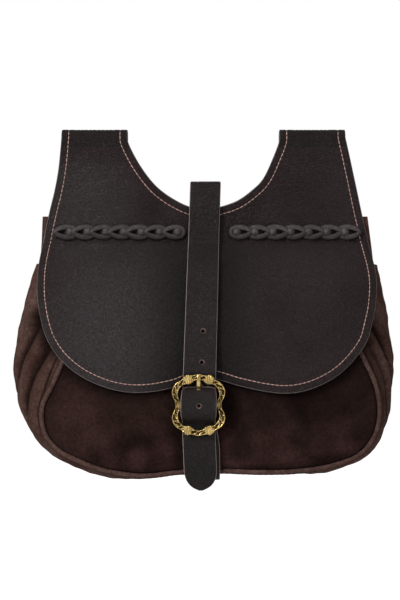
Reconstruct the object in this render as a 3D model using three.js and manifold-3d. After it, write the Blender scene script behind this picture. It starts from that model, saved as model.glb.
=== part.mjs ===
// A leather belt bag with a kidney-shaped flap, two folded belt loops, a suede pouch with a
// bellows gusset, laced leather braids and a strap with a cast buckle. Millimetres, +Z up.
// The front faces -Y. The origin is at the middle of the belt's run: halfway between the two
// loops, in the middle of their gap, at the height of their inner tops, where the bag hangs.
import * as THREE from "three";
import { mergeVertices } from "three/addons/utils/BufferGeometryUtils.js";
import Module from "manifold-3d";

const wasm = await Module();
wasm.setup();

// Driving dimensions of the flap and its belt loops
const flapLeather = 2.6;
const loopGap = 8;
const necklineRadius = 61;
const loopWidth = 51;
const loopDrop = 78.5;
const tabOverlap = 12;
const flapDrop = 124.3;
const flapHalf = 132;

// Driving dimensions of the pouch
const suedeWall = 1.6;
const pouchHalf = 147.5;
const pouchTop = 66;
const pouchDrop = 200;
const pouchDepth = 66;
const gussetTop = 37;
const pipingRadius = 2.3;
const backSeamInset = 2.5;

// Driving dimensions of the straps and the buckle
const strapWidth = 25;
const strapLeather = 2.8;
const strapTop = 41;
const strapTail = 40;
const strapTip = 276;
const strapAside = 1.6;
const strapLean = 5.4;
const tipReturn = 1.7;
const buckleStrapLeather = 2.4;
const buckleStrapTail = 82;
const buckleDrop = 211;
const buckleWidth = 41;
const buckleHeight = 46.4;
const buckleThickness = 3.5;
const barRadius = 1.6;
const prongWidth = 3.2;
const prongThickness = 1.8;
const strapHole = 3.4;
const holePitch = 23.5;

// Driving dimensions of the laced braids
const braidLinks = 7;
const braidWidth = 12;
const braidStartLeft = 15.5;
const braidStartRight = 21.5;
const braidMarginLeft = 12;
const braidMarginRight = 10.1;
const laceThickness = 2.2;
const laceWidth = 4.4;

// Clearances between pieces
const touch = 0.3;
const flapClear = 2;
const seamClear = 1.4;

// Mesh fineness
const sheetSpacing = 12.5;
const edgeSpacing = 7.5;
const neckSpacing = 6.6;
const gussetSteps = 50;
const gussetFolds = 10;
const foldSteps = 6;
const pipingSteps = 62;
const pipingSides = 6;

const foldRadius = (loopGap + flapLeather) / 2;
const foldCentre = -loopGap / 2;
const loopHalf = necklineRadius + loopWidth;
const lacingZ = -loopDrop;
const pouchBottom = pouchTop + pouchDrop;

// How far the front stands out, as a share of the pouch's depth, against the way down from the lacing
const FRONT_FORM = [
  { down: 0.045, out: 0 },
  { down: 0.08, out: 0.1 },
  { down: 0.115, out: 0.24 },
  { down: 0.17, out: 0.39 },
  { down: 0.25, out: 0.56 },
  { down: 0.33, out: 0.69 },
  { down: 0.435, out: 0.81 },
  { down: 0.54, out: 0.9 },
  { down: 0.65, out: 0.96 },
  { down: 0.76, out: 0.99 },
  { down: 0.89, out: 1 },
  { down: 1, out: 0.96 },
];

// The flap's outer edges beside the loops, as shares of the loops' drop and of their outer half width
const LOOP_EDGE = [
  { down: 0.17, left: 1.007, right: 1.019 },
  { down: 0.375, left: 1.022, right: 1.05 },
  { down: 0.58, left: 1.048, right: 1.081 },
  { down: 0.78, left: 1.084, right: 1.113 },
  { down: 1, left: 1.118, right: 1.148 },
];

// The flap's two lobes from left to right, as shares of its half width and of its drop below the lacing
const FLAP_EDGE = [
  { across: -0.967, down: 0.121 },
  { across: -0.978, down: 0.274 },
  { across: -0.97, down: 0.431 },
  { across: -0.942, down: 0.575 },
  { across: -0.905, down: 0.68 },
  { across: -0.837, down: 0.784 },
  { across: -0.731, down: 0.881 },
  { across: -0.603, down: 0.95 },
  { across: -0.47, down: 0.988 },
  { across: -0.341, down: 0.994 },
  { across: -0.176, down: 0.966 },
  { across: 0, down: 0.905 },
  { across: 0.209, down: 0.956 },
  { across: 0.341, down: 0.986 },
  { across: 0.455, down: 1 },
  { across: 0.561, down: 0.99 },
  { across: 0.678, down: 0.949 },
  { across: 0.788, down: 0.881 },
  { across: 0.883, down: 0.784 },
  { across: 0.948, down: 0.685 },
  { across: 0.98, down: 0.58 },
  { across: 1.006, down: 0.469 },
  { across: 1.019, down: 0.299 },
  { across: 0.998, down: 0.134 },
];

// Outlines of the pouch from its upper left to its upper right corner, as shares of its half width
// and of its drop. The front is the seam beside the piping, the side is the gusset's widest line.
const FRONT_EDGE = [
  { across: -0.6, down: 0.2 },
  { across: -0.617, down: 0.32 },
  { across: -0.658, down: 0.455 },
  { across: -0.721, down: 0.584 },
  { across: -0.776, down: 0.675 },
  { across: -0.815, down: 0.735 },
  { across: -0.82, down: 0.787 },
  { across: -0.796, down: 0.847 },
  { across: -0.727, down: 0.898 },
  { across: -0.641, down: 0.928 },
  { across: -0.538, down: 0.958 },
  { across: -0.43, down: 0.975 },
  { across: -0.3, down: 0.983 },
  { across: -0.14, down: 0.971 },
  { across: 0, down: 0.967 },
  { across: 0.15, down: 0.966 },
  { across: 0.3, down: 0.969 },
  { across: 0.475, down: 0.966 },
  { across: 0.657, down: 0.947 },
  { across: 0.8, down: 0.906 },
  { across: 0.873, down: 0.838 },
  { across: 0.895, down: 0.755 },
  { across: 0.876, down: 0.66 },
  { across: 0.812, down: 0.557 },
  { across: 0.732, down: 0.445 },
  { across: 0.67, down: 0.32 },
  { across: 0.64, down: 0.2 },
];
const SIDE_EDGE = [
  { across: -0.858, down: 0.19 },
  { across: -0.89, down: 0.255 },
  { across: -0.918, down: 0.33 },
  { across: -0.967, down: 0.485 },
  { across: -0.986, down: 0.605 },
  { across: -0.974, down: 0.723 },
  { across: -0.937, down: 0.8 },
  { across: -0.871, down: 0.88 },
  { across: -0.739, down: 0.955 },
  { across: -0.576, down: 1.002 },
  { across: -0.373, down: 1.017 },
  { across: -0.17, down: 1.002 },
  { across: 0, down: 0.982 },
  { across: 0.203, down: 0.985 },
  { across: 0.475, down: 1 },
  { across: 0.678, down: 0.988 },
  { across: 0.82, down: 0.946 },
  { across: 0.915, down: 0.89 },
  { across: 0.963, down: 0.81 },
  { across: 0.988, down: 0.71 },
  { across: 1, down: 0.605 },
  { across: 0.977, down: 0.47 },
  { across: 0.942, down: 0.34 },
  { across: 0.921, down: 0.26 },
  { across: 0.896, down: 0.19 },
];
const BACK_EDGE = [
  { across: -0.863, down: 0 },
  { across: -0.876, down: 0.17 },
  { across: -0.933, down: 0.42 },
  { across: -0.945, down: 0.595 },
  { across: -0.915, down: 0.73 },
  { across: -0.83, down: 0.85 },
  { across: -0.66, down: 0.93 },
  { across: -0.44, down: 0.965 },
  { across: 0, down: 0.965 },
  { across: 0.44, down: 0.96 },
  { across: 0.68, down: 0.93 },
  { across: 0.854, down: 0.85 },
  { across: 0.935, down: 0.73 },
  { across: 0.956, down: 0.595 },
  { across: 0.942, down: 0.42 },
  { across: 0.91, down: 0.17 },
  { across: 0.881, down: 0 },
];

// Creases of the gusset: along is the share of its run from left to right, over the share of the
// way from its back to its front seam, and deep a share of the pouch's depth
const GUSSET_CREASES = [
  { alongFrom: 0.05, overFrom: 0.82, alongTo: 0.21, overTo: 0.34, deep: 0.085 },
  { alongFrom: 0.09, overFrom: 0.93, alongTo: 0.27, overTo: 0.5, deep: 0.085 },
  { alongFrom: 0.95, overFrom: 0.86, alongTo: 0.8, overTo: 0.36, deep: 0.08 },
  { alongFrom: 0.91, overFrom: 0.95, alongTo: 0.77, overTo: 0.62, deep: 0.035 },
];

// A quarter of the buckle's frame, as shares of its half width and half height: its outer and inner
// edges, and how proud its face is, as a share of its thickness
const BUCKLE_QUARTER = [
  { outX: 0, outZ: 1, inX: 0, inZ: 0.82, proud: 0 },
  { outX: 0.2, outZ: 0.965, inX: 0.15, inZ: 0.785, proud: 0 },
  { outX: 0.31, outZ: 0.965, inX: 0.27, inZ: 0.69, proud: 0.2 },
  { outX: 0.42, outZ: 0.985, inX: 0.33, inZ: 0.66, proud: 0.28 },
  { outX: 0.54, outZ: 0.92, inX: 0.44, inZ: 0.66, proud: 0.2 },
  { outX: 0.62, outZ: 0.82, inX: 0.54, inZ: 0.665, proud: 0 },
  { outX: 0.8, outZ: 0.735, inX: 0.645, inZ: 0.59, proud: 0.04 },
  { outX: 0.93, outZ: 0.595, inX: 0.72, inZ: 0.49, proud: 0.06 },
  { outX: 0.985, outZ: 0.43, inX: 0.75, inZ: 0.37, proud: 0.04 },
  { outX: 0.945, outZ: 0.26, inX: 0.74, inZ: 0.26, proud: 0 },
  { outX: 0.86, outZ: 0.1, inX: 0.69, inZ: 0.13, proud: 0 },
];

// A monotone cubic through a table's rows, so that a form has no overshoot between them
function smoothTable(rows, from, to) {
  const slope = rows.slice(1).map((r, i) => (r[to] - rows[i][to]) / (r[from] - rows[i][from]));
  const tangent = rows.map((_, i) => {
    if (i === 0) return slope[0];
    if (i === rows.length - 1) return slope[i - 1];
    if (slope[i - 1] * slope[i] <= 0) return 0;
    return (2 * slope[i - 1] * slope[i]) / (slope[i - 1] + slope[i]);
  });
  return (at) => {
    if (at <= rows[0][from]) return rows[0][to];
    if (at >= rows[rows.length - 1][from]) return rows[rows.length - 1][to];
    const i = rows.findIndex((r) => r[from] > at) - 1;
    const h = rows[i + 1][from] - rows[i][from];
    const t = (at - rows[i][from]) / h;
    const rest = 1 - t;
    return (
      rows[i][to] * (1 + 2 * t) * rest * rest +
      tangent[i] * h * t * rest * rest +
      rows[i + 1][to] * t * t * (3 - 2 * t) -
      tangent[i + 1] * h * t * t * rest
    );
  };
}

const frontOut = smoothTable(FRONT_FORM, "down", "out");
const { lerp, smoothstep } = THREE.MathUtils;

// The flap's middle surface in front of the pouch: flat at the lacing, standing out over the
// pouch, falling back at the sides and drawn in under the strap
const sideFall = 0.32;
const sideSharpness = 2.5;
const valleyDepth = 7;
const valleyLeft = 27;
const valleyRight = 22;
const valleyCentre = 2;
const loopClose = 0.9;
const loopOpen = 0.52;

function flapMiddle(x, z) {
  const down = (lacingZ - z) / (pouchBottom - loopDrop);
  const side = 1 - sideFall * Math.abs(x / pouchHalf) ** sideSharpness;
  const reach = x < valleyCentre ? valleyLeft : valleyRight;
  const valley = valleyDepth * smoothstep(down, 0.08, 0.3) * Math.exp(-(((x - valleyCentre) / reach) ** 2));
  const open = 1 - smoothstep(-z, loopDrop * loopOpen, loopDrop * loopClose);
  const seat = lerp(touch + flapLeather / 2, foldRadius, open);
  return -seat - frontOut(down) * pouchDepth * side + valley;
}

// The suede front's middle surface, behind the flap
function frontMiddle(x, z) {
  return flapMiddle(x, z) + flapLeather / 2 + flapClear + suedeWall / 2;
}

// A closed body through rings of points: a run of sections with caps, or a loop that meets itself
function loft(sections, closed = false) {
  const around = sections[0].length;
  const points = sections.flat();
  const faces = [];
  const last = closed ? sections.length : sections.length - 1;
  for (let i = 0; i < last; i++) {
    const next = (i + 1) % sections.length;
    for (let j = 0; j < around; j++) {
      const k = (j + 1) % around;
      faces.push([i * around + j, i * around + k, next * around + k]);
      faces.push([i * around + j, next * around + k, next * around + j]);
    }
  }
  if (!closed) {
    const end = (sections.length - 1) * around;
    for (let j = 1; j < around - 1; j++) {
      faces.push([0, j + 1, j]);
      faces.push([end, end + j, end + j + 1]);
    }
  }
  return bodyOf(points, faces);
}

// A geometry from points and triangles, turned so that its faces point out
function bodyOf(points, faces) {
  const volume = faces.reduce((sum, [a, b, c]) => {
    return sum + points[a].dot(points[b].clone().cross(points[c]));
  }, 0);
  const turned = volume < 0 ? faces.map(([a, b, c]) => [a, c, b]) : faces;
  const geometry = new THREE.BufferGeometry().setFromPoints(points);
  geometry.setIndex(turned.flat());
  return geometry;
}

function toSolid(geometry) {
  const bare = geometry.index ? geometry.toNonIndexed() : geometry.clone();
  const position = new THREE.BufferGeometry().setAttribute("position", bare.getAttribute("position"));
  const merged = mergeVertices(position, 1e-4);
  return new wasm.Manifold(
    new wasm.Mesh({
      numProp: 3,
      vertProperties: merged.attributes.position.array,
      triVerts: new Uint32Array(merged.index.array),
    }),
  );
}

function toGeometry(solid) {
  const mesh = solid.getMesh();
  const geometry = new THREE.BufferGeometry();
  geometry.setAttribute("position", new THREE.BufferAttribute(new Float32Array(mesh.vertProperties), 3));
  geometry.setIndex(new THREE.BufferAttribute(new Uint32Array(mesh.triVerts), 1));
  return geometry;
}

// Evenly spaced points of a smooth curve through 2-D points, as x and down
function smoothEdge(points, spacing) {
  const places = points.map(([x, down]) => new THREE.Vector3(x, down, 0));
  const curve = new THREE.CatmullRomCurve3(places, false, "centripetal");
  curve.arcLengthDivisions = 600;
  const count = Math.max(2, Math.round(curve.getLength() / spacing));
  return curve.getSpacedPoints(count).map((p) => [p.x, p.y]);
}

function straightEdge(from, to, spacing) {
  const count = Math.max(1, Math.round(Math.hypot(to[0] - from[0], to[1] - from[1]) / spacing));
  return Array.from({ length: count + 1 }, (_, i) => {
    const share = i / count;
    return [lerp(from[0], to[0], share), lerp(from[1], to[1], share)];
  });
}

function inside(polygon, x, y) {
  let within = false;
  for (let i = 0, j = polygon.length - 1; i < polygon.length; j = i++) {
    const [xi, yi] = polygon[i];
    const [xj, yj] = polygon[j];
    if (yi > y !== yj > y && x < ((xj - xi) * (y - yi)) / (yj - yi) + xi) within = !within;
  }
  return within;
}

// Delaunay triangles of 2-D points, adding one point at a time
function delaunay(points) {
  const far = 1e5;
  const all = [...points, [-far, -far], [far, -far], [0, far]];
  const circle = (a, b, c) => {
    const [ax, ay] = all[a];
    const [bx, by] = [all[b][0] - ax, all[b][1] - ay];
    const [cx, cy] = [all[c][0] - ax, all[c][1] - ay];
    const d = 2 * (bx * cy - by * cx);
    const ux = (cy * (bx * bx + by * by) - by * (cx * cx + cy * cy)) / d;
    const uy = (bx * (cx * cx + cy * cy) - cx * (bx * bx + by * by)) / d;
    return { tri: [a, b, c], x: ax + ux, y: ay + uy, r2: ux * ux + uy * uy };
  };
  let open = [circle(points.length, points.length + 1, points.length + 2)];
  points.forEach(([px, py], p) => {
    const hit = open.filter((t) => (px - t.x) ** 2 + (py - t.y) ** 2 < t.r2);
    const edges = new Map();
    for (const { tri } of hit) {
      for (let k = 0; k < 3; k++) {
        const [a, b] = [tri[k], tri[(k + 1) % 3]];
        if (edges.has(`${b},${a}`)) edges.delete(`${b},${a}`);
        else edges.set(`${a},${b}`, [a, b]);
      }
    }
    open = open.filter((t) => !hit.includes(t));
    for (const [a, b] of edges.values()) open.push(circle(a, b, p));
  });
  return open.map((t) => t.tri).filter((t) => Math.max(...t) < points.length);
}

// A sheet of leather cut to a flat outline, with rows of points across it, then laid in its place
// by a function of the flat coordinates and of the height through its thickness
function sheetBody(outline, rows, spacing, thickness, place) {
  const points = [...outline];
  const xs = outline.map((p) => p[0]);
  let odd = false;
  for (const y of rows) {
    odd = !odd;
    for (let x = Math.min(...xs) + (odd ? 0 : spacing / 4); x < Math.max(...xs); x += spacing) {
      if (!inside(outline, x, y)) continue;
      if (outline.some(([ox, oy]) => Math.hypot(ox - x, oy - y) < spacing * 0.5)) continue;
      points.push([x, y]);
    }
  }
  const flat = delaunay(points).filter((t) => {
    const x = (points[t[0]][0] + points[t[1]][0] + points[t[2]][0]) / 3;
    const y = (points[t[0]][1] + points[t[1]][1] + points[t[2]][1]) / 3;
    return inside(outline, x, y);
  });
  const count = points.length;
  const placed = [thickness / 2, -thickness / 2].flatMap((n) => points.map(([x, y]) => place(x, y, n)));
  const faces = flat.flatMap(([a, b, c]) => [
    [a, b, c],
    [c + count, b + count, a + count],
  ]);
  const rim = new Map();
  for (const t of flat) {
    for (let k = 0; k < 3; k++) {
      const [a, b] = [t[k], t[(k + 1) % 3]];
      if (rim.has(`${b},${a}`)) rim.delete(`${b},${a}`);
      else rim.set(`${a},${b}`, [a, b]);
    }
  }
  for (const [a, b] of rim.values()) {
    faces.push([b, a, a + count]);
    faces.push([b, a + count, b + count]);
  }
  return bodyOf(placed, faces);
}

// A point beside a surface that is given as y over x and z
function besideSurface(middle, x, z, n) {
  const step = 0.5;
  const slopeX = (middle(x + step, z) - middle(x - step, z)) / (2 * step);
  const slopeZ = (middle(x, z + step) - middle(x, z - step)) / (2 * step);
  const normal = new THREE.Vector3(slopeX, -1, slopeZ).normalize();
  return new THREE.Vector3(x, middle(x, z), z).addScaledVector(normal, n);
}

// The loops' back tabs: parallel to the front below the fold, closing on the pouch's back
function tabMiddle(z) {
  const open = 1 - smoothstep(-z, loopDrop * loopOpen, loopDrop * loopClose);
  return lerp(suedeWall + touch + flapLeather / 2, foldRadius, open);
}

// The flap is one cut piece: down is its way down the front, and goes below the fold's start for
// the stretch over the top and down the back
const foldStart = -foldCentre;
const foldLength = Math.PI * foldRadius;
const tabEnd = foldStart - foldLength - (loopDrop + tabOverlap - foldStart);

function placeFlap(x, down, n) {
  if (down >= foldStart) return besideSurface(flapMiddle, x, -down, n);
  const turn = (foldStart - down) / foldRadius;
  if (turn < Math.PI) {
    const radius = foldRadius + n;
    return new THREE.Vector3(x, -radius * Math.cos(turn), foldCentre + radius * Math.sin(turn));
  }
  const z = foldCentre - (foldStart - foldLength - down);
  return new THREE.Vector3(x, tabMiddle(z) + n, z);
}

// The neckline, from the right loop round to the left one, as shares of its radius
const NECK_EDGE = [
  { across: 0.98, down: 0.1 },
  { across: 0.885, down: 0.359 },
  { across: 0.756, down: 0.618 },
  { across: 0.626, down: 0.746 },
  { across: 0.446, down: 0.875 },
  { across: 0.239, down: 0.952 },
  { across: 0.02, down: 1 },
  { across: -0.187, down: 0.952 },
  { across: -0.354, down: 0.875 },
  { across: -0.548, down: 0.746 },
  { across: -0.677, down: 0.618 },
  { across: -0.857, down: 0.359 },
  { across: -0.98, down: 0.1 },
];

function flapOutline() {
  const lobes = FLAP_EDGE.map((r) => [r.across * flapHalf, loopDrop + r.down * flapDrop]);
  const left = LOOP_EDGE.map((r) => [-r.left * loopHalf, r.down * loopDrop]);
  const right = LOOP_EDGE.map((r) => [r.right * loopHalf, r.down * loopDrop]).reverse();
  const front = smoothEdge(
    [[-loopHalf, foldStart], ...left, ...lobes, ...right, [loopHalf, foldStart]],
    edgeSpacing,
  );
  const down = (x) => [
    ...straightEdge([x, foldStart], [x, foldStart - foldLength], foldLength / foldSteps),
    ...straightEdge([x, foldStart - foldLength], [x, tabEnd], edgeSpacing * 2).slice(1),
  ];
  const neckRun = NECK_EDGE.map((r) => [r.across * necklineRadius, r.down * necklineRadius]);
  const [neckRight, neckLeft] = [neckRun[0][0], neckRun.at(-1)[0]];
  const neckline = smoothEdge([[neckRight, foldStart], ...neckRun, [neckLeft, foldStart]], neckSpacing);
  const outline = [
    ...front,
    ...down(loopHalf).slice(1),
    ...straightEdge([loopHalf, tabEnd], [neckRight, tabEnd], edgeSpacing * 2).slice(1),
    ...down(neckRight).reverse().slice(1),
    ...neckline.slice(1),
    ...down(neckLeft).slice(1),
    ...straightEdge([neckLeft, tabEnd], [-loopHalf, tabEnd], edgeSpacing * 2).slice(1),
    ...down(-loopHalf).reverse().slice(1, -1),
  ];
  return outline.filter(([x, y], i) => {
    const [px, py] = outline[(i + outline.length - 1) % outline.length];
    return Math.hypot(x - px, y - py) > edgeSpacing / 5;
  });
}

function box(width, depth, height, at) {
  return new THREE.BoxGeometry(width, depth, height).translate(at.x, at.y, at.z);
}

// Where each braid's ends pass through the flap
const slotWidth = 3;
const slotHeight = 7;

function braidEnds(side) {
  if (side < 0) return [-braidStartLeft, FLAP_EDGE[0].across * flapHalf + braidMarginLeft];
  return [braidStartRight, FLAP_EDGE.at(-1).across * flapHalf - braidMarginRight];
}

function flapGeometry() {
  const rows = [
    ...Array.from({ length: foldSteps + 1 }, (_, i) => foldStart - (foldLength * i) / foldSteps),
    ...[0.3, 0.62, 0.88, 1, 1.1, 1.17, 1.24, 1.33].map((share) => share * loopDrop),
    ...[0.28, 0.38, 0.48, 0.58, 0.68, 0.78, 0.88].map((share) => loopDrop + share * flapDrop),
  ];
  let flap = toSolid(sheetBody(flapOutline(), rows, sheetSpacing, flapLeather, placeFlap));
  for (const side of [-1, 1]) {
    for (const x of braidEnds(side)) {
      const at = new THREE.Vector3(x, flapMiddle(x, lacingZ), lacingZ);
      flap = flap.subtract(toSolid(box(slotWidth, flapLeather * 3, slotHeight, at)));
    }
  }
  return toGeometry(flap);
}

// The pouch's outlines, evenly spaced along their run, as x and down
function pouchEdgeThrough(points, count) {
  const places = points.map(([x, down]) => new THREE.Vector3(x, down, 0));
  const curve = new THREE.CatmullRomCurve3(places, false, "centripetal");
  curve.arcLengthDivisions = 600;
  return curve.getSpacedPoints(count).map((p) => [p.x, p.y]);
}

function pouchEdge(rows, count) {
  return pouchEdgeThrough(rows.map((r) => [r.across * pouchHalf, pouchTop + r.down * pouchDrop]), count);
}

// An open outline moved outwards; it runs from the upper left round the bottom to the upper right
function outwards(edge, distance) {
  return edge.map(([x, y], i) => {
    const [ax, ay] = edge[Math.max(0, i - 1)];
    const [bx, by] = edge[Math.min(edge.length - 1, i + 1)];
    const length = Math.hypot(bx - ax, by - ay);
    return [x - ((by - ay) / length) * distance, y + ((bx - ax) / length) * distance];
  });
}

function frontGeometry() {
  const edge = smoothEdge(
    FRONT_EDGE.map((r) => [r.across * pouchHalf, pouchTop + r.down * pouchDrop]),
    edgeSpacing,
  );
  const mouth = straightEdge(edge.at(-1), edge[0], edgeSpacing).slice(1, -1);
  const rows = Array.from({ length: 13 }, (_, i) => lerp(edge[0][1], pouchBottom, (i + 0.7) / 13.5));
  const place = (x, down, n) => besideSurface(frontMiddle, x, -down, n);
  return sheetBody([...edge, ...mouth], rows, sheetSpacing, suedeWall, place);
}

function backGeometry() {
  const edge = smoothEdge(
    BACK_EDGE.map((r) => [r.across * pouchHalf, pouchTop + r.down * pouchDrop]),
    edgeSpacing * 1.5,
  );
  const shape = new THREE.Shape(edge.map(([x, down]) => new THREE.Vector2(x, -down)));
  return new THREE.ExtrudeGeometry(shape, { depth: suedeWall, bevelEnabled: false })
    .rotateX(Math.PI / 2)
    .translate(0, suedeWall, 0);
}

// The piping lies round the front's edge, a little behind its face
const pipingSetBack = 1.6;

function pipingPoint(seam, line) {
  return new THREE.Vector3(line[0], frontMiddle(seam[0], -seam[1]) + pipingSetBack, -line[1]);
}

function pipingPath(count) {
  const seam = pouchEdge(FRONT_EDGE, count);
  return outwards(seam, pipingRadius + touch).map((line, i) => pipingPoint(seam[i], line));
}

function pipingGeometry() {
  const curve = new THREE.CatmullRomCurve3(pipingPath(pipingSteps), false, "centripetal");
  const section = new THREE.Shape(
    Array.from({ length: pipingSides }, (_, i) => {
      const turn = (2 * Math.PI * i) / pipingSides;
      return new THREE.Vector2(pipingRadius * Math.cos(turn), pipingRadius * Math.sin(turn));
    }),
  );
  return new THREE.ExtrudeGeometry(section, { steps: pipingSteps, extrudePath: curve, bevelEnabled: false });
}

// How deep the creases press the gusset in at a place on it
const creaseReach = 0.075;

function creaseDepth(along, over) {
  let depth = 0;
  for (const c of GUSSET_CREASES) {
    const share = (along - c.alongFrom) / (c.alongTo - c.alongFrom);
    if (share <= 0 || share >= 1) continue;
    const line = lerp(c.overFrom, c.overTo, share);
    const fade = Math.sin(Math.PI * share) ** 0.6;
    depth += c.deep * pouchDepth * fade * Math.exp(-(((over - line) / creaseReach) ** 2));
  }
  return depth;
}

// The gusset runs from the back seam over its widest line to the back of the piping
function gussetRuns(count) {
  const front = pipingPath(count);
  const side = outwards(pouchEdge(SIDE_EDGE, count), -suedeWall / 2);
  const low = pouchEdge(BACK_EDGE, count * 6).filter(([, down]) => down > pouchTop + gussetTop);
  const seam = outwards(pouchEdgeThrough(low, count), -backSeamInset);
  return front.map((piping, i) => {
    const backPoint = new THREE.Vector3(seam[i][0], -touch - suedeWall / 2, -seam[i][1]);
    const frontPoint = new THREE.Vector3(piping.x, piping.y + pipingRadius + seamClear, piping.z);
    const widest = new THREE.Vector3(side[i][0], (backPoint.y + frontPoint.y) / 2, -side[i][1]);
    const swell = widest.sub(backPoint.clone().lerp(frontPoint, 0.5));
    return (over) => backPoint.clone().lerp(frontPoint, over).addScaledVector(swell, 4 * over * (1 - over));
  });
}

function gussetGeometry() {
  const runs = gussetRuns(gussetSteps);
  const grid = runs.map((run, i) => Array.from({ length: gussetFolds + 1 }, (_, j) => run(j / gussetFolds)));
  const at = (i, j) => grid[Math.min(Math.max(i, 0), gussetSteps)][Math.min(Math.max(j, 0), gussetFolds)];
  const normal = (i, j) => {
    const along = at(i + 1, j).clone().sub(at(i - 1, j));
    const over = at(i, j + 1).clone().sub(at(i, j - 1));
    return along.cross(over).normalize();
  };
  const sections = grid.map((row, i) => {
    const moved = (p, j, distance) => p.clone().addScaledVector(normal(i, j), distance);
    const pressed = row.map((p, j) => moved(p, j, -creaseDepth(i / gussetSteps, j / gussetFolds)));
    const outer = pressed.map((p, j) => moved(p, j, suedeWall / 2));
    const inner = pressed.map((p, j) => moved(p, j, -suedeWall / 2));
    return [...outer, ...inner.reverse()];
  });
  return loft(sections);
}

// A flat strap along a path in the Y-Z plane, with a width at each of its points
function strapBody(path, widths, thickness, centre) {
  const edge = thickness * 0.25;
  const sections = path.map((p, i) => {
    const before = path[Math.max(0, i - 1)];
    const after = path[Math.min(path.length - 1, i + 1)];
    const tangent = new THREE.Vector2(after.x - before.x, after.y - before.y).normalize();
    const normal = new THREE.Vector2(tangent.y, -tangent.x);
    const half = widths[i] / 2;
    const deep = thickness / 2;
    const ring = [
      [-half, -deep + edge],
      [-half + edge, -deep],
      [half - edge, -deep],
      [half, -deep + edge],
      [half, deep - edge],
      [half - edge, deep],
      [-half + edge, deep],
      [-half, deep - edge],
    ];
    return ring.map(([x, n]) => new THREE.Vector3(centre(p.y) + x, p.x + normal.x * n, p.y + normal.y * n));
  });
  return loft(sections);
}

// Points of a strap's path, as y and z, evenly spaced on a smooth curve
function strapPath(points, spacing) {
  const places = points.map(([y, z]) => new THREE.Vector3(y, z, 0));
  const curve = new THREE.CatmullRomCurve3(places, false, "centripetal");
  curve.arcLengthDivisions = 800;
  const count = Math.round(curve.getLength() / spacing);
  return curve.getSpacedPoints(count).map((p) => new THREE.Vector2(p.x, p.y));
}

// The strap's middle leans to the left down to the buckle, and its tip comes back a little
function strapCentre(z) {
  const down = Math.min(1, (-z - strapTop) / (buckleDrop - strapTop));
  return strapAside - strapLean * down + tipReturn * smoothstep(-z, buckleDrop + 8, strapTip);
}

// The foremost of a surface across a strap's width, which is what a flat strap rests on
const strapReach = strapWidth * 0.55;

function underStrap(middle) {
  return (_, z) => {
    const centre = strapCentre(z);
    return Math.min(middle(centre - strapReach, z), middle(0, z), middle(centre + strapReach, z));
  };
}

// The straps' and the buckle's depths at the buckle, worked out from the suede outwards
const buckleZ = -buckleDrop;
const frameHalfZ = buckleHeight / 2;
const frontAtFrame = underStrap(frontMiddle)(0, buckleZ - frameHalfZ) - suedeWall / 2;
const buckleStrapY = frontAtFrame - 2 * touch - buckleStrapLeather / 2;
const billetUnderY = buckleStrapY - buckleStrapLeather / 2 - touch - strapLeather / 2;
const frameY = billetUnderY - strapLeather / 2 - 3 * touch - buckleThickness / 2;
const foldOutRadius = barRadius + 1.5 * touch + buckleStrapLeather;
const billetCrownY = frameY - foldOutRadius - touch - strapLeather / 2;

// The strap's way inside the frame: rise is the share of the way from under the frame to its
// crown over the bar, and from is the share of the frame's half height from its middle
const BUCKLE_CROSSING = [
  { from: 0.68, rise: 0 },
  { from: 0.57, rise: 0.04 },
  { from: 0.47, rise: 0.3 },
  { from: 0.37, rise: 0.68 },
  { from: 0.22, rise: 0.95 },
];

// Where the strap is set on the flap, as shares of the buckle's drop, from low to high.
const STRAP_RESTS = [0.782, 0.6872, 0.5924, 0.5118, 0.4597, 0.4265];

function billetPath() {
  const onFlap = (z) => {
    const p = besideSurface(underStrap(flapMiddle), 0, z, flapLeather / 2 + 4 * touch + strapLeather / 2);
    return [p.y, p.z];
  };
  const foldY = (loopGap + strapLeather) / 2;
  const foldZ = -strapTop - loopGap / 2;
  const backY = suedeWall + touch + strapLeather / 2;
  const crossing = BUCKLE_CROSSING.map((r) => {
    return [lerp(billetUnderY, billetCrownY, r.rise), r.from * frameHalfZ];
  });
  return strapPath(
    [
      [billetUnderY + 1, -strapTip],
      [billetUnderY, buckleZ - frameHalfZ * 1.9],
      [billetUnderY, buckleZ - frameHalfZ * 1.3],
      [billetUnderY, buckleZ - frameHalfZ],
      ...crossing.map(([y, from]) => [y, buckleZ - from]),
      [billetCrownY, buckleZ],
      ...crossing.map(([y, from]) => [y, buckleZ + from]).reverse(),
      [billetUnderY, buckleZ + frameHalfZ * 1.05],
      ...STRAP_RESTS.map((share) => onFlap(-share * buckleDrop)),
      onFlap(lacingZ),
      onFlap(-64),
      [-foldY, foldZ - 5],
      [-foldY, foldZ],
      [-foldY * Math.SQRT1_2, foldZ + foldY * Math.SQRT1_2],
      [0, foldZ + foldY],
      [foldY * Math.SQRT1_2, foldZ + foldY * Math.SQRT1_2],
      [foldY, foldZ],
      [foldY, foldZ - 5],
      [backY, lacingZ],
      [backY, lacingZ - strapTail],
    ],
    5,
  );
}

// The pointed tip: the strap's share of its full width, against the way from the end
const TIP_FORM = [
  { from: 0, wide: 0.26 },
  { from: 2.2, wide: 0.52 },
  { from: 5, wide: 0.73 },
  { from: 8.5, wide: 0.89 },
  { from: 12.5, wide: 0.975 },
  { from: 16, wide: 1 },
];
const tipWidth = smoothTable(TIP_FORM, "from", "wide");

// The strap spreads a little where it lies in the buckle
const buckleSpread = 0.08;

function billetWidths(path) {
  return path.map((p) => {
    const inBuckle = Math.exp(-(((p.y - buckleZ) / (frameHalfZ * 0.45)) ** 4)) * (p.x < frameY ? 1 : 0);
    const taper = lerp(1, 0.97, smoothstep(p.y, buckleZ, -strapTop));
    return strapWidth * taper * (1 + buckleSpread * inBuckle) * tipWidth(p.y + strapTip);
  });
}

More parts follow.
